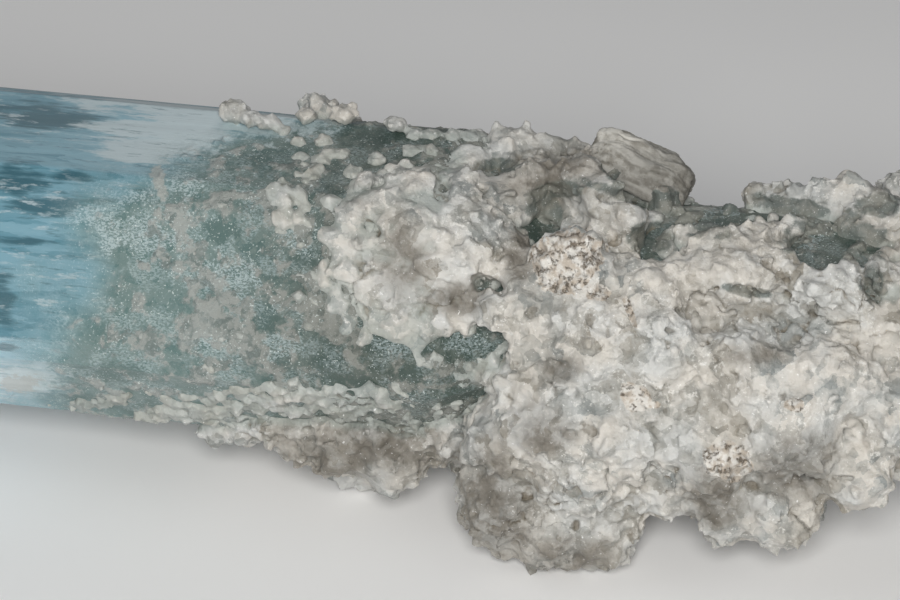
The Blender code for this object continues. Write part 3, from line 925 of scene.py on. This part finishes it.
def make_crust(material):
    chance = np.random.RandomState(SEED)
    kinds = stones(chance)
    faces, shapes = base_form()
    base = base_mesh("base", faces, shapes)
    strewing = []
    for per_mm2, least, most, low, high in CRUST_GRAINS:
        at, normal = scattered_on(chance, base, per_mm2, outside)
        busy = rough_noise(at, 6.0, 41, 2) > chance.uniform(-0.7, 0.2, size=len(at))
        at, normal = at[busy], normal[busy]
        half = least + (most - least) * chance.uniform(size=len(at)) ** 1.5
        share = 0.55 + 0.45 * rim_share(at)
        lift = half * share * chance.uniform(low, high, size=len(at))
        strewing.append((at + normal * lift[:, None], half * share))
    centres, halves = (np.concatenate(a) for a in zip(*strewing))
    grains = strewn(chance, kinds, centres, halves)
    for name, low, high, voxel in CRUST_PIECES:
        reach = (low - BORDER_REACH, high + BORDER_REACH)
        near = np.array([in_turns(shape, *reach).any() for shape in shapes])
        body = base_mesh(name, faces, shapes[near])
        grains_here = picked(grains, in_turns(centres, *reach))
        mesh = grown_together(name, *joined((points_of(body), triangles_of(body)), grains_here), voxel)
        shape = lambda points: only_turns(points, low, high)
        dress(name, mesh, material, reach, fine_relief, shape)


def make_flecks(material):
    """The knobs and crumbs of crust that stand on the bare part of the prism."""
    chance = np.random.RandomState(SEED + 1)
    centres, halves = [], []
    for x, y, half in KNOBS:
        along, turn = on_prism(x, y)
        out = np.array(outward(turn))
        away = chance.normal(size=(KNOB_STONES, 3))
        reach = half * chance.uniform(0.0, 0.85, size=(KNOB_STONES, 1))
        away *= reach / np.linalg.norm(away, axis=1, keepdims=True)
        away -= 0.4 * (away @ out)[:, None] * out
        lift = out * half * (KNOB_LIFT if half > SMALL_KNOB else SMALL_KNOB_LIFT)
        foot = from_polar(along, turn, float(prism_radius(along, turn)))
        centres.append(foot + lift + away)
        halves.append(half * chance.uniform(0.16, 0.34, size=KNOB_STONES))
    along = chance.uniform(14, CRUMB_ALONG, size=CRUMB_TRIES)
    turn = chance.uniform(-180, 180, size=CRUMB_TRIES)
    out = crystal_surface(along, turn)
    clumped = marked(from_polar(along, turn, out), CLUMPED, 0.4, 0.4, 2.5)
    least, most = CRUMB_HALF
    half = least + (most - least) * chance.uniform(size=CRUMB_TRIES) ** (3 - 2 * clumped)
    near_coating = 1 - smooth_step(edge_at(COATING_EDGE, turn) - along, 0, 12)
    half *= 0.7 + 0.5 * np.maximum(near_coating, clumped)
    wanted = film(along, turn) - 0.14 + 0.3 * near_coating + 0.7 * clumped
    keep = wanted > chance.uniform(0.0, 0.5, size=CRUMB_TRIES)
    keep &= (along < 76) | ((turn > 40) & (turn < 122))
    centres.append(from_polar(along, turn, out - CRUMB_SINK * half)[keep])
    halves.append(half[keep])
    halves = np.concatenate(halves)
    kinds = stones(chance)
    grains = picked(strewn(chance, kinds, np.concatenate(centres), halves, 0.8), halves > 0)
    mesh = grown_together("crust_flecks", *grains, FLECK_VOXEL)
    relief = lambda at: 0.1 * rough_noise(at, 0.7, 151, 2)
    dress("crust_flecks", mesh, material, (-180, 180), relief, lambda points: points, FLECK_TRIANGLES)


# ---- the block -------------------------------------------------------------------------------


def make_block(material):
    """The feldspar block: the solid's box with its cuts, split along its length by ridges and ledges."""
    bm = bmesh.new()
    bmesh.ops.create_cube(bm, size=2)
    for facing, distance in BLOCK_CUTS:
        normal = Vector(facing).normalized()
        cut = bmesh.ops.bisect_plane(
            bm, geom=bm.verts[:] + bm.edges[:] + bm.faces[:],
            plane_co=normal * distance, plane_no=normal, clear_outer=True,
        )
        rim = [e for e in cut["geom_cut"] if isinstance(e, bmesh.types.BMEdge)]
        bmesh.ops.contextual_create(bm, geom=rim)
    bmesh.ops.triangulate(bm, faces=bm.faces)
    box, faces = arrays_of(bm)
    mesh = grown_together("feldspar", box * np.array(BLOCK_HALF), faces, BLOCK_VOXEL)
    at, normal = points_of(mesh), normals_of(mesh)
    at = smoothed(mesh, at, BLOCK_SOFTENED)
    split = bent(at, 0.5, 2.5, 301) * np.array([0.14, 1, 1])
    ledges = 0.5 - np.abs(rough_noise(split, 1.5, 311, 4))
    chips = rough_noise(at, 1.6, 321, 4)
    moved = at + normal * (BLOCK_RELIEF * ledges + 0.35 * chips - 0.2)[:, None]
    along, turn, out = BLOCK_PLACE
    placed = np.array(axes_at(turn) @ Matrix.Rotation(math.radians(BLOCK_DIP), 3, "Y"))
    moved = moved @ placed.T + np.array(around(along, turn, out))
    move_points(mesh, moved)
    mesh.shade_smooth()
    store_hollow(mesh, moved)
    store(mesh, "streak", rough_noise(split, 0.9, 331, 5))
    # painted shade: the block's colour darkens towards its right side
    store(mesh, "shade", smooth_step(at[:, 0] - 1.2 * at[:, 1], -2.0, 6.0))
    obj = new_object("feldspar", mesh, material)
    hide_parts("tan_feldspar")
    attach(obj, "root")


# ---- materials -------------------------------------------------------------------------------


class Nodes:
    """A short hand for wiring a material's nodes."""

    def __init__(self, name):
        self.material = bpy.data.materials.new(name)
        self.material.use_nodes = True
        self.tree = self.material.node_tree
        self.shader = self.tree.nodes["Principled BSDF"]
        self.output = self.tree.nodes["Material Output"]

    def add(self, kind, inputs=(), **settings):
        node = self.tree.nodes.new(kind)
        for key, value in settings.items():
            setattr(node, key, value)
        for key, value in dict(inputs).items():
            self.set(node.inputs[key], value)
        return node

    def set(self, socket, value):
        if isinstance(value, bpy.types.NodeSocket):
            self.tree.links.new(value, socket)
        else:
            socket.default_value = value

    def place(self, scale=(1, 1, 1)):
        """Object coordinates in millimetres, stretched."""
        coords = self.add("ShaderNodeTexCoord").outputs["Object"]
        size = [1 / MM * s for s in scale]
        return self.add("ShaderNodeMapping", {"Vector": coords, "Scale": size}).outputs[0]

    def noise(self, vector, size, detail=4.0, roughness=0.55, distortion=0.0):
        inputs = {"Vector": vector, "Scale": 1 / size, "Detail": detail, "Roughness": roughness}
        inputs["Distortion"] = distortion
        return self.add("ShaderNodeTexNoise", inputs).outputs["Fac"]

    def ramp(self, value, low, high, start=0.0, end=1.0):
        node = self.add("ShaderNodeMapRange", {0: value, 1: low, 2: high, 3: start, 4: end})
        node.interpolation_type = "SMOOTHSTEP"
        return node.outputs[0]

    def math(self, operation, a, b, clamp=False):
        node = self.add("ShaderNodeMath", {0: a, 1: b}, operation=operation, use_clamp=clamp)
        return node.outputs[0]

    def times(self, a, b):
        return self.math("MULTIPLY", a, b)

    def unsure(self, value, noise, by=1.0):
        """A value made ragged by a noise."""
        either_way = self.math("SUBTRACT", noise, 0.5)
        return self.math("ADD", value, either_way if by == 1 else self.times(either_way, by))

    def mix(self, share, a, b):
        node = self.add("ShaderNodeMix", data_type="RGBA")
        self.set(node.inputs["Factor"], share)
        self.set(node.inputs["A"], (*a, 1) if isinstance(a, tuple) and len(a) == 3 else a)
        self.set(node.inputs["B"], (*b, 1) if isinstance(b, tuple) and len(b) == 3 else b)
        return node.outputs["Result"]

    def attribute(self, name):
        return self.add("ShaderNodeAttribute", attribute_name=name).outputs["Fac"]

    def vectors(self, operation, a, b, output="Vector"):
        inputs = {0: a, "Scale" if operation == "SCALE" else 1: b}
        return self.add("ShaderNodeVectorMath", inputs, operation=operation).outputs[output]

    def cells(self, vector, size):
        return self.add("ShaderNodeTexVoronoi", {"Vector": vector, "Scale": 1 / size}).outputs

    def facets(self, vector, size):
        """Height of little flat faces, each tilted its own way."""
        cells = self.cells(vector, size)
        offset = self.vectors("SUBTRACT", vector, cells["Position"])
        tilt = self.vectors("SUBTRACT", cells["Color"], (0.5, 0.5, 0.5))
        return self.vectors("DOT_PRODUCT", offset, tilt, "Value")

    def shaken(self, vector, size, by, detail=3.0):
        """The coordinates pushed about by a noise, so that what is drawn with them is ragged."""
        inputs = {"Vector": vector, "Scale": 1 / size, "Detail": detail, "Roughness": 0.6}
        push = self.add("ShaderNodeTexNoise", inputs).outputs["Color"]
        centred = self.vectors("SUBTRACT", push, (0.5, 0.5, 0.5))
        return self.vectors("ADD", vector, self.vectors("SCALE", centred, by * 2))

    def patches(self, vector, size):
        """A number for each cell of a noise, the same all over the cell."""
        colour = self.cells(vector, size)["Color"]
        return self.add("ShaderNodeSeparateColor", {"Color": colour}).outputs[0]

    def mottled(self, vector, coarse, fine, rough):
        """A tone of larger and smaller patches with a noise over them."""
        patches = self.times(self.patches(vector, coarse), 0.34)
        patches = self.math("ADD", patches, self.times(self.patches(vector, fine), 0.26))
        return self.math("ADD", patches, self.times(rough, 0.6))

    def three(self, mid, late, colours):
        """Three colours, one after the other along the prism."""
        return self.mix(late, self.mix(mid, colours[0], colours[1]), colours[2])

    def sparks(self, vector, size, share):
        """Small ragged points of 1 over about that share of the surface, and 0 elsewhere: where painted
        glints go.
        """
        return self.ramp(self.noise(vector, size, 2, 0.6), 0.82 - 0.9 * share, 0.87 - 0.9 * share)

    def bump(self, height, distance, strength=1.0, normal=None):
        inputs = {"Height": height, "Distance": distance * MM, "Strength": strength}
        if normal:
            inputs["Normal"] = normal
        return self.add("ShaderNodeBump", inputs).outputs[0]


# Base colours, as linear red, green and blue. A pair goes from dark to light.
CLEAR = (0.10, 0.30, 0.395), (0.25, 0.49, 0.60)
CLEAR_SUNK = (0.018, 0.12, 0.165)
CLEAR_PALE_AND_SHEEN = (0.64, 0.77, 0.81)
WISPS = (0.60, 0.73, 0.78)
CUTS = (0.03, 0.13, 0.17)
# These three are for the etched middle, from its blue side to the one within the crust.
ETCHED_DARK = (0.13, 0.28, 0.305), (0.092, 0.172, 0.165), (0.036, 0.062, 0.051)
ETCHED_LIGHT = (0.225, 0.35, 0.37), (0.15, 0.225, 0.215), (0.085, 0.11, 0.093)
DUST_DARK = (0.165, 0.20, 0.19), (0.105, 0.118, 0.102)
DUST_LIGHT = (0.34, 0.355, 0.335), (0.245, 0.25, 0.225)
ETCHED_SUNK = (0.03, 0.07, 0.06)
ETCHED_PALE_AND_SHEEN = (0.47, 0.56, 0.58)
PAINTED_GLITTER_COLOUR = (0.50, 0.60, 0.62)
PAINTED_GLINTS = (0.68, 0.75, 0.74)
TAN_STAIN = (0.40, 0.41, 0.38)
BERYL_IOR = 1.58
ABSORBED = (0.30, 0.66, 0.72, 1)
ABSORPTION = 70.0
GRAINS_CLEAR = (0.25, 0.27, 0.265), (0.30, 0.28, 0.24)
GRAINS_WHITE = (0.56, 0.565, 0.55), (0.585, 0.56, 0.515)
CRUMBS = (0.74, 0.73, 0.70)
STAIN_AND_SHADE_COLOUR = (0.165, 0.15, 0.125)
THIN = (0.30, 0.34, 0.315)
GLASSY_AND_SHADED = (0.085, 0.11, 0.10), (0.175, 0.18, 0.155)
PAINTED_GLASSY_GLINTS = (0.55, 0.58, 0.57)
HOLLOW_TONES = (0.17, 0.14, 0.095), (0.20, 0.20, 0.18)
PIT_PAINTED_SHADE = (0.16, 0.145, 0.115)
CHALKY = (0.48, 0.425, 0.36), (0.66, 0.64, 0.60)
CHALK_PORES = (0.21, 0.175, 0.135)
PAINTED_GRAIN_GLINTS = (0.88, 0.88, 0.88)
SCATTER_SHARE = 0.45
SCATTER_RADIUS = (1.0, 0.96, 0.9)
SCATTER_DEPTH = 0.5
FELDSPAR = (0.22, 0.205, 0.175), (0.56, 0.545, 0.50)
FELDSPAR_PALE = (0.66, 0.65, 0.61)
FELDSPAR_HOLLOWS = (0.10, 0.085, 0.06)
FELDSPAR_PAINTED_SHADE = (0.13, 0.125, 0.11)
FELDSPAR_ROUGHNESS = 0.62


def clear_colour(n):
    """The clear end: teal depth, streaked by pale veils that run lengthwise."""
    lengthwise = n.place((0.2, 1, 1))
    streaks = n.noise(lengthwise, 1.3, 5, 0.7)
    drawn = n.shaken(lengthwise, 0.8, 0.4, 4)
    tone = n.mottled(drawn, 1.8, 0.7, streaks)
    colour = n.mix(n.ramp(tone, 0.28, 0.72), *CLEAR)
    sunk = n.unsure(n.attribute("deep"), n.noise(n.place((0.12, 1, 1)), 0.8, 5, 0.66), 2.0)
    colour = n.mix(n.times(n.ramp(sunk, 0.42, 0.92), 0.9), colour, CLEAR_SUNK)
    # painted sheen on the smooth top face, and a real pale patch low at the tip end
    pale_and_sheen_share = n.ramp(n.unsure(n.attribute("pale"), streaks, 2.2), 0.40, 0.80)
    colour = n.mix(n.times(pale_and_sheen_share, 0.9), colour, CLEAR_PALE_AND_SHEEN)
    wisp = n.ramp(n.noise(lengthwise, 0.75, 5, 0.72), 0.54, 0.64)
    clumps = n.ramp(n.noise(lengthwise, 3.4, 3, 0.5), 0.38, 0.56)
    colour = n.mix(n.times(n.times(wisp, clumps), 0.8), colour, WISPS)
    cut = n.ramp(n.noise(n.place((0.14, 1, 1.3)), 0.5, 4, 0.68), 0.57, 0.68)
    return n.mix(n.times(cut, 0.55), colour, CUTS)


def etched_colour(n, at):
    """The etched middle: dull cyan grey, going green, under thin broken crust, with painted glitter and
    painted glints.
    """
    along = n.attribute("along")
    late, mid = n.ramp(along, 38, 60), n.ramp(along, 14, 34)
    deep = n.three(mid, late, ETCHED_DARK)
    tone = n.mottled(n.shaken(at, 0.8, 0.45, 4), 1.3, 0.55, n.noise(at, 1.6, 5, 0.7))
    colour = n.mix(n.ramp(tone, 0.34, 0.70), deep, n.three(mid, late, ETCHED_LIGHT))
    dark = n.ramp(n.unsure(n.attribute("dark"), n.noise(at, 1.1, 4, 0.7), 2.2), 0.44, 0.70)
    colour = n.mix(n.times(dark, 0.75), colour, n.mix(0.3, deep, ETCHED_SUNK))
    # painted sheen on the top face, and a real pale patch low at the tip end
    pale_and_sheen_share = n.ramp(n.unsure(n.attribute("pale"), n.noise(at, 1.4, 4, 0.7), 2.2), 0.40, 0.80)
    colour = n.mix(n.times(pale_and_sheen_share, 0.75), colour, ETCHED_PALE_AND_SHEEN)

    film = n.unsure(n.attribute("film"), n.noise(at, 1.0, 5, 0.73), 1.3)
    dust = n.mix(n.ramp(tone, 0.38, 0.64), n.mix(late, *DUST_DARK), n.mix(late, *DUST_LIGHT))
    colour = n.mix(n.times(n.ramp(film, -0.10, 0.12), 0.4), colour, dust)
    colour = n.mix(n.times(n.ramp(film, 0.07, 0.15), 0.75), colour, dust)

    # painted glitter: pale ripples where the etched faces glitter in the light
    ripple = n.ramp(n.noise(n.place((0.6, 1, 1)), 0.17, 3, 0.6, 0.5), 0.42, 0.58)
    painted_glitter = n.unsure(n.attribute("painted_glitter"), n.noise(at, 0.9, 4, 0.7), 2.4)
    spread = n.ramp(n.noise(at, 2.8, 4, 0.65), 0.46, 0.58, 0.0, 0.6)
    painted_glitter = n.math("ADD", n.ramp(painted_glitter, 0.46, 0.66), spread, True)
    painted_glitter = n.times(painted_glitter, n.ramp(film, 0.20, 0.06, 0.2, 1.0))
    share = n.times(n.times(ripple, painted_glitter), n.ramp(along, 38, 60, 0.7, 0.42))
    colour = n.mix(share, colour, PAINTED_GLITTER_COLOUR)
    # painted glints: small bright points in the colour
    painted_glint = n.times(n.sparks(at, 0.22, 0.22), n.ramp(n.noise(at, 3.0, 3), 0.42, 0.58, 0.15, 0.8))
    return n.mix(painted_glint, colour, PAINTED_GLINTS)


def crystal_material():
    n = Nodes("aquamarine")
    at, frost = n.place(), n.attribute("frost")
    colour = n.mix(frost, clear_colour(n), etched_colour(n, at))
    tan = n.ramp(n.unsure(n.attribute("tan"), n.noise(at, 0.9, 4, 0.7), 1.6), 0.44, 0.72)
    colour = n.mix(n.times(tan, 0.7), colour, TAN_STAIN)
    n.set(n.shader.inputs["Base Color"], colour)
    n.set(n.shader.inputs["Roughness"], n.ramp(frost, 0, 1, 0.42, 0.5))
    n.set(n.shader.inputs["Transmission Weight"], n.ramp(frost, 0, 1, 0.40, 0.15))
    n.shader.inputs["IOR"].default_value = BERYL_IOR
    n.shader.inputs["Specular IOR Level"].default_value = 0.25
    absorb = n.add("ShaderNodeVolumeAbsorption", {"Color": ABSORBED, "Density": ABSORPTION})
    n.set(n.output.inputs["Volume"], absorb.outputs[0])
    ribs = n.bump(n.noise(n.place((0.04, 1, 1)), 0.5, 4, 0.6), 0.10, 0.5)
    etch = n.bump(n.noise(at, 0.36, 4, 0.65), 0.16, frost, ribs)
    n.set(n.shader.inputs["Normal"], etch)
    return n.material


def crust_material():
    """Fused white grains, each a little more or less clear, with chalky patches, darker colour in the cracks,
    painted shade in the pits and painted glints.
    """
    n = Nodes("white_crust")
    at = n.place()
    ragged = n.shaken(at, 0.9, 0.5, 4)

    # the grains, clear or white, and the crumbs on them
    tone = n.mottled(ragged, 2.6, 1.1, n.noise(at, 1.6, 5, 0.7))
    clear = n.mix(n.ramp(n.noise(at, 9, 3), 0.38, 0.62), *GRAINS_CLEAR)
    white = n.mix(n.ramp(n.noise(at, 6, 3), 0.38, 0.62), *GRAINS_WHITE)
    colour = n.mix(n.ramp(tone, 0.30, 0.74), clear, white)
    crumbs = n.ramp(n.noise(at, 0.5, 4, 0.7), 0.54, 0.62)
    crumbs = n.times(crumbs, n.ramp(n.noise(at, 4, 4, 0.6), 0.48, 0.60))
    colour = n.mix(n.times(crumbs, 0.7), colour, CRUMBS)

    # brown stains with painted shade under the prism and on the lower lumps, the thin edges that the crystal
    # shows through, and smoky glassy places darkened by painted shade
    stain = n.ramp(n.noise(at, 3.0, 4, 0.65), 0.42, 0.60)
    stain_and_shade = n.times(n.attribute("stain_and_shade"), n.math("ADD", n.times(stain, 0.4), 0.55))
    colour = n.mix(stain_and_shade, colour, STAIN_AND_SHADE_COLOUR)
    cover = n.unsure(n.attribute("cover"), n.noise(at, 1.0, 4, 0.7))
    colour = n.mix(n.ramp(cover, 0.0, 1.0, 0.6, 0.0), colour, THIN)
    # smoky glassy quartz, darkened further by painted shade of the hollows it lies in
    smoke_and_shade = n.unsure(n.attribute("smoky_and_shaded"), n.noise(at, 1.6, 4, 0.7), 1.2)
    glassy_and_shaded = n.mix(n.ramp(n.noise(at, 3.0, 4), 0.4, 0.6), *GLASSY_AND_SHADED)
    # painted glints in the smoky glassy places
    glassy_and_shaded = n.mix(n.times(n.sparks(at, 0.22, 0.20), 0.6), glassy_and_shaded, PAINTED_GLASSY_GLINTS)
    colour = n.mix(n.times(n.ramp(smoke_and_shade, 0.34, 0.70), 0.8), colour, glassy_and_shaded)

    # darker colour in the cracks and hollows, and painted shade on the pit floors
    hollow_tone = n.mix(n.ramp(n.noise(at, 7, 3), 0.42, 0.58), *HOLLOW_TONES)
    colour = n.mix(n.ramp(n.attribute("hollow"), 0.04, 0.36, 0.0, 0.75), colour, hollow_tone)
    # painted shade: the floors of the pits darkened
    pit = n.ramp(n.math("ADD", n.attribute("pit"), n.noise(at, 0.6, 3, 0.7)), 1.0, 1.6)
    colour = n.mix(n.times(pit, 0.5), colour, PIT_PAINTED_SHADE)

    # chalky, porous patches
    pores = n.ramp(n.noise(n.shaken(at, 0.5, 0.4, 3), 0.7, 5, 0.78), 0.38, 0.47)
    chalk = n.mix(n.ramp(n.noise(at, 0.9, 4), 0.4, 0.6), *CHALKY)
    chalk = n.mix(pores, CHALK_PORES, chalk)
    chalked = n.ramp(n.unsure(n.attribute("chalk"), n.noise(at, 0.8, 4, 0.7)), 0.42, 0.55)
    colour = n.mix(chalked, colour, chalk)
    # painted glints: small bright points on the grains
    colour = n.mix(n.times(n.sparks(at, 0.28, 0.15), 0.75), colour, PAINTED_GRAIN_GLINTS)

    n.set(n.shader.inputs["Base Color"], colour)
    n.set(n.shader.inputs["Roughness"], n.ramp(n.noise(at, 0.5, 3), 0.3, 0.7, 0.42, 0.75))
    n.shader.inputs["Subsurface Weight"].default_value = SCATTER_SHARE
    n.shader.inputs["Subsurface Radius"].default_value = SCATTER_RADIUS
    n.shader.inputs["Subsurface Scale"].default_value = SCATTER_DEPTH * MM
    flats = n.bump(n.facets(ragged, 0.8), 0.45, 0.5)
    coarse = n.bump(n.noise(at, 0.7, 4, 0.7), 0.38, 0.5, flats)
    porous = n.bump(pores, 0.3, chalked, coarse)
    n.set(n.shader.inputs["Normal"], n.bump(n.noise(at, 0.22, 2, 0.65), 0.08, 0.5, porous))
    return n.material


def block_material():
    """Grey-white feldspar, dull, streaked along its ledges, with painted shade darkening its right side."""
    n = Nodes("tan_feldspar")
    at = n.place()
    colour = n.mix(n.ramp(n.attribute("streak"), -0.25, 0.3), *FELDSPAR)
    pale = n.ramp(n.noise(at, 0.8, 4, 0.7), 0.42, 0.62, 0.0, 0.5)
    colour = n.mix(pale, colour, FELDSPAR_PALE)
    hollow = n.ramp(n.attribute("hollow"), 0.02, 0.25, 0.0, 0.85)
    colour = n.mix(hollow, colour, FELDSPAR_HOLLOWS)
    # painted shade on the block's right side
    colour = n.mix(n.times(n.attribute("shade"), 0.6), colour, FELDSPAR_PAINTED_SHADE)
    n.set(n.shader.inputs["Base Color"], colour)
    n.shader.inputs["Roughness"].default_value = FELDSPAR_ROUGHNESS
    rough = n.bump(n.noise(at, 0.5, 5, 0.7), 0.25, 0.6)
    n.set(n.shader.inputs["Normal"], n.bump(n.noise(at, 0.18, 3), 0.06, 0.6, rough))
    return n.material


# ---- stage -----------------------------------------------------------------------------------

FLOOR_HALF = 3.0
FLOOR_COLOUR = (0.9, 0.9, 0.9, 1)
FLOOR_ROUGHNESS = 0.9
WORLD_COLOUR = (0.8, 0.82, 0.85, 1)
WORLD_STRENGTH = 0.14
# Name, azimuth, elevation, distance and width in millimetres, power in watts, colour.
LAMPS = (
    ("key", 10, 32, 480, 170, 2.05, (1.0, 0.985, 0.96)),
    ("fill", -70, 40, 600, 400, 0.3, (0.92, 0.96, 1.0)),
    ("back", 170, 45, 600, 400, 0.3, (1.0, 0.99, 0.97)),
)


def make_camera():
    right, up, back = view_axes()
    aim = aim_point()
    data = bpy.data.cameras.new("camera")
    data.sensor_width = SENSOR
    data.lens = SENSOR * VIEW_DISTANCE / VIEW_WIDTH
    camera = bpy.data.objects.new("camera", data)
    bpy.context.scene.collection.objects.link(camera)
    turned = Matrix((right, up, back)).transposed().to_4x4()
    camera.matrix_world = Matrix.Translation((aim + back * VIEW_DISTANCE) * MM) @ turned
    bpy.context.scene.camera = camera


def area_light(name, azimuth, elevation, distance, size, power, colour):
    back = direction(azimuth, elevation)
    data = bpy.data.lights.new(name, "AREA")
    data.shape = "DISK"
    data.size = size * MM
    data.energy = power
    data.color = colour
    light = bpy.data.objects.new(name, data)
    bpy.context.scene.collection.objects.link(light)
    light.location = (around(AIM_ALONG, 0, 0) + back * distance) * MM
    light.rotation_euler = back.to_track_quat("Z", "Y").to_euler()


def make_stage():
    bm = bmesh.new()
    bmesh.ops.create_grid(bm, x_segments=1, y_segments=1, size=FLOOR_HALF)
    mesh = bpy.data.meshes.new("floor")
    bm.to_mesh(mesh)
    bm.free()
    n = Nodes("floor")
    n.shader.inputs["Base Color"].default_value = FLOOR_COLOUR
    n.shader.inputs["Roughness"].default_value = FLOOR_ROUGHNESS
    new_object("floor", mesh, n.material)
    for lamp in LAMPS:
        area_light(*lamp)
    world = bpy.data.worlds.new("world")
    world.use_nodes = True
    background = world.node_tree.nodes["Background"]
    background.inputs["Color"].default_value = WORLD_COLOUR
    background.inputs["Strength"].default_value = WORLD_STRENGTH
    bpy.context.scene.world = world
    bpy.context.scene.view_settings.view_transform = "Standard"


def main():
    make_camera()
    make_crystal(crystal_material())
    crust = crust_material()
    make_crust(crust)
    make_flecks(crust)
    make_block(block_material())
    make_stage()


for startup_object in list(bpy.data.objects):
    bpy.data.objects.remove(startup_object)
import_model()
main()
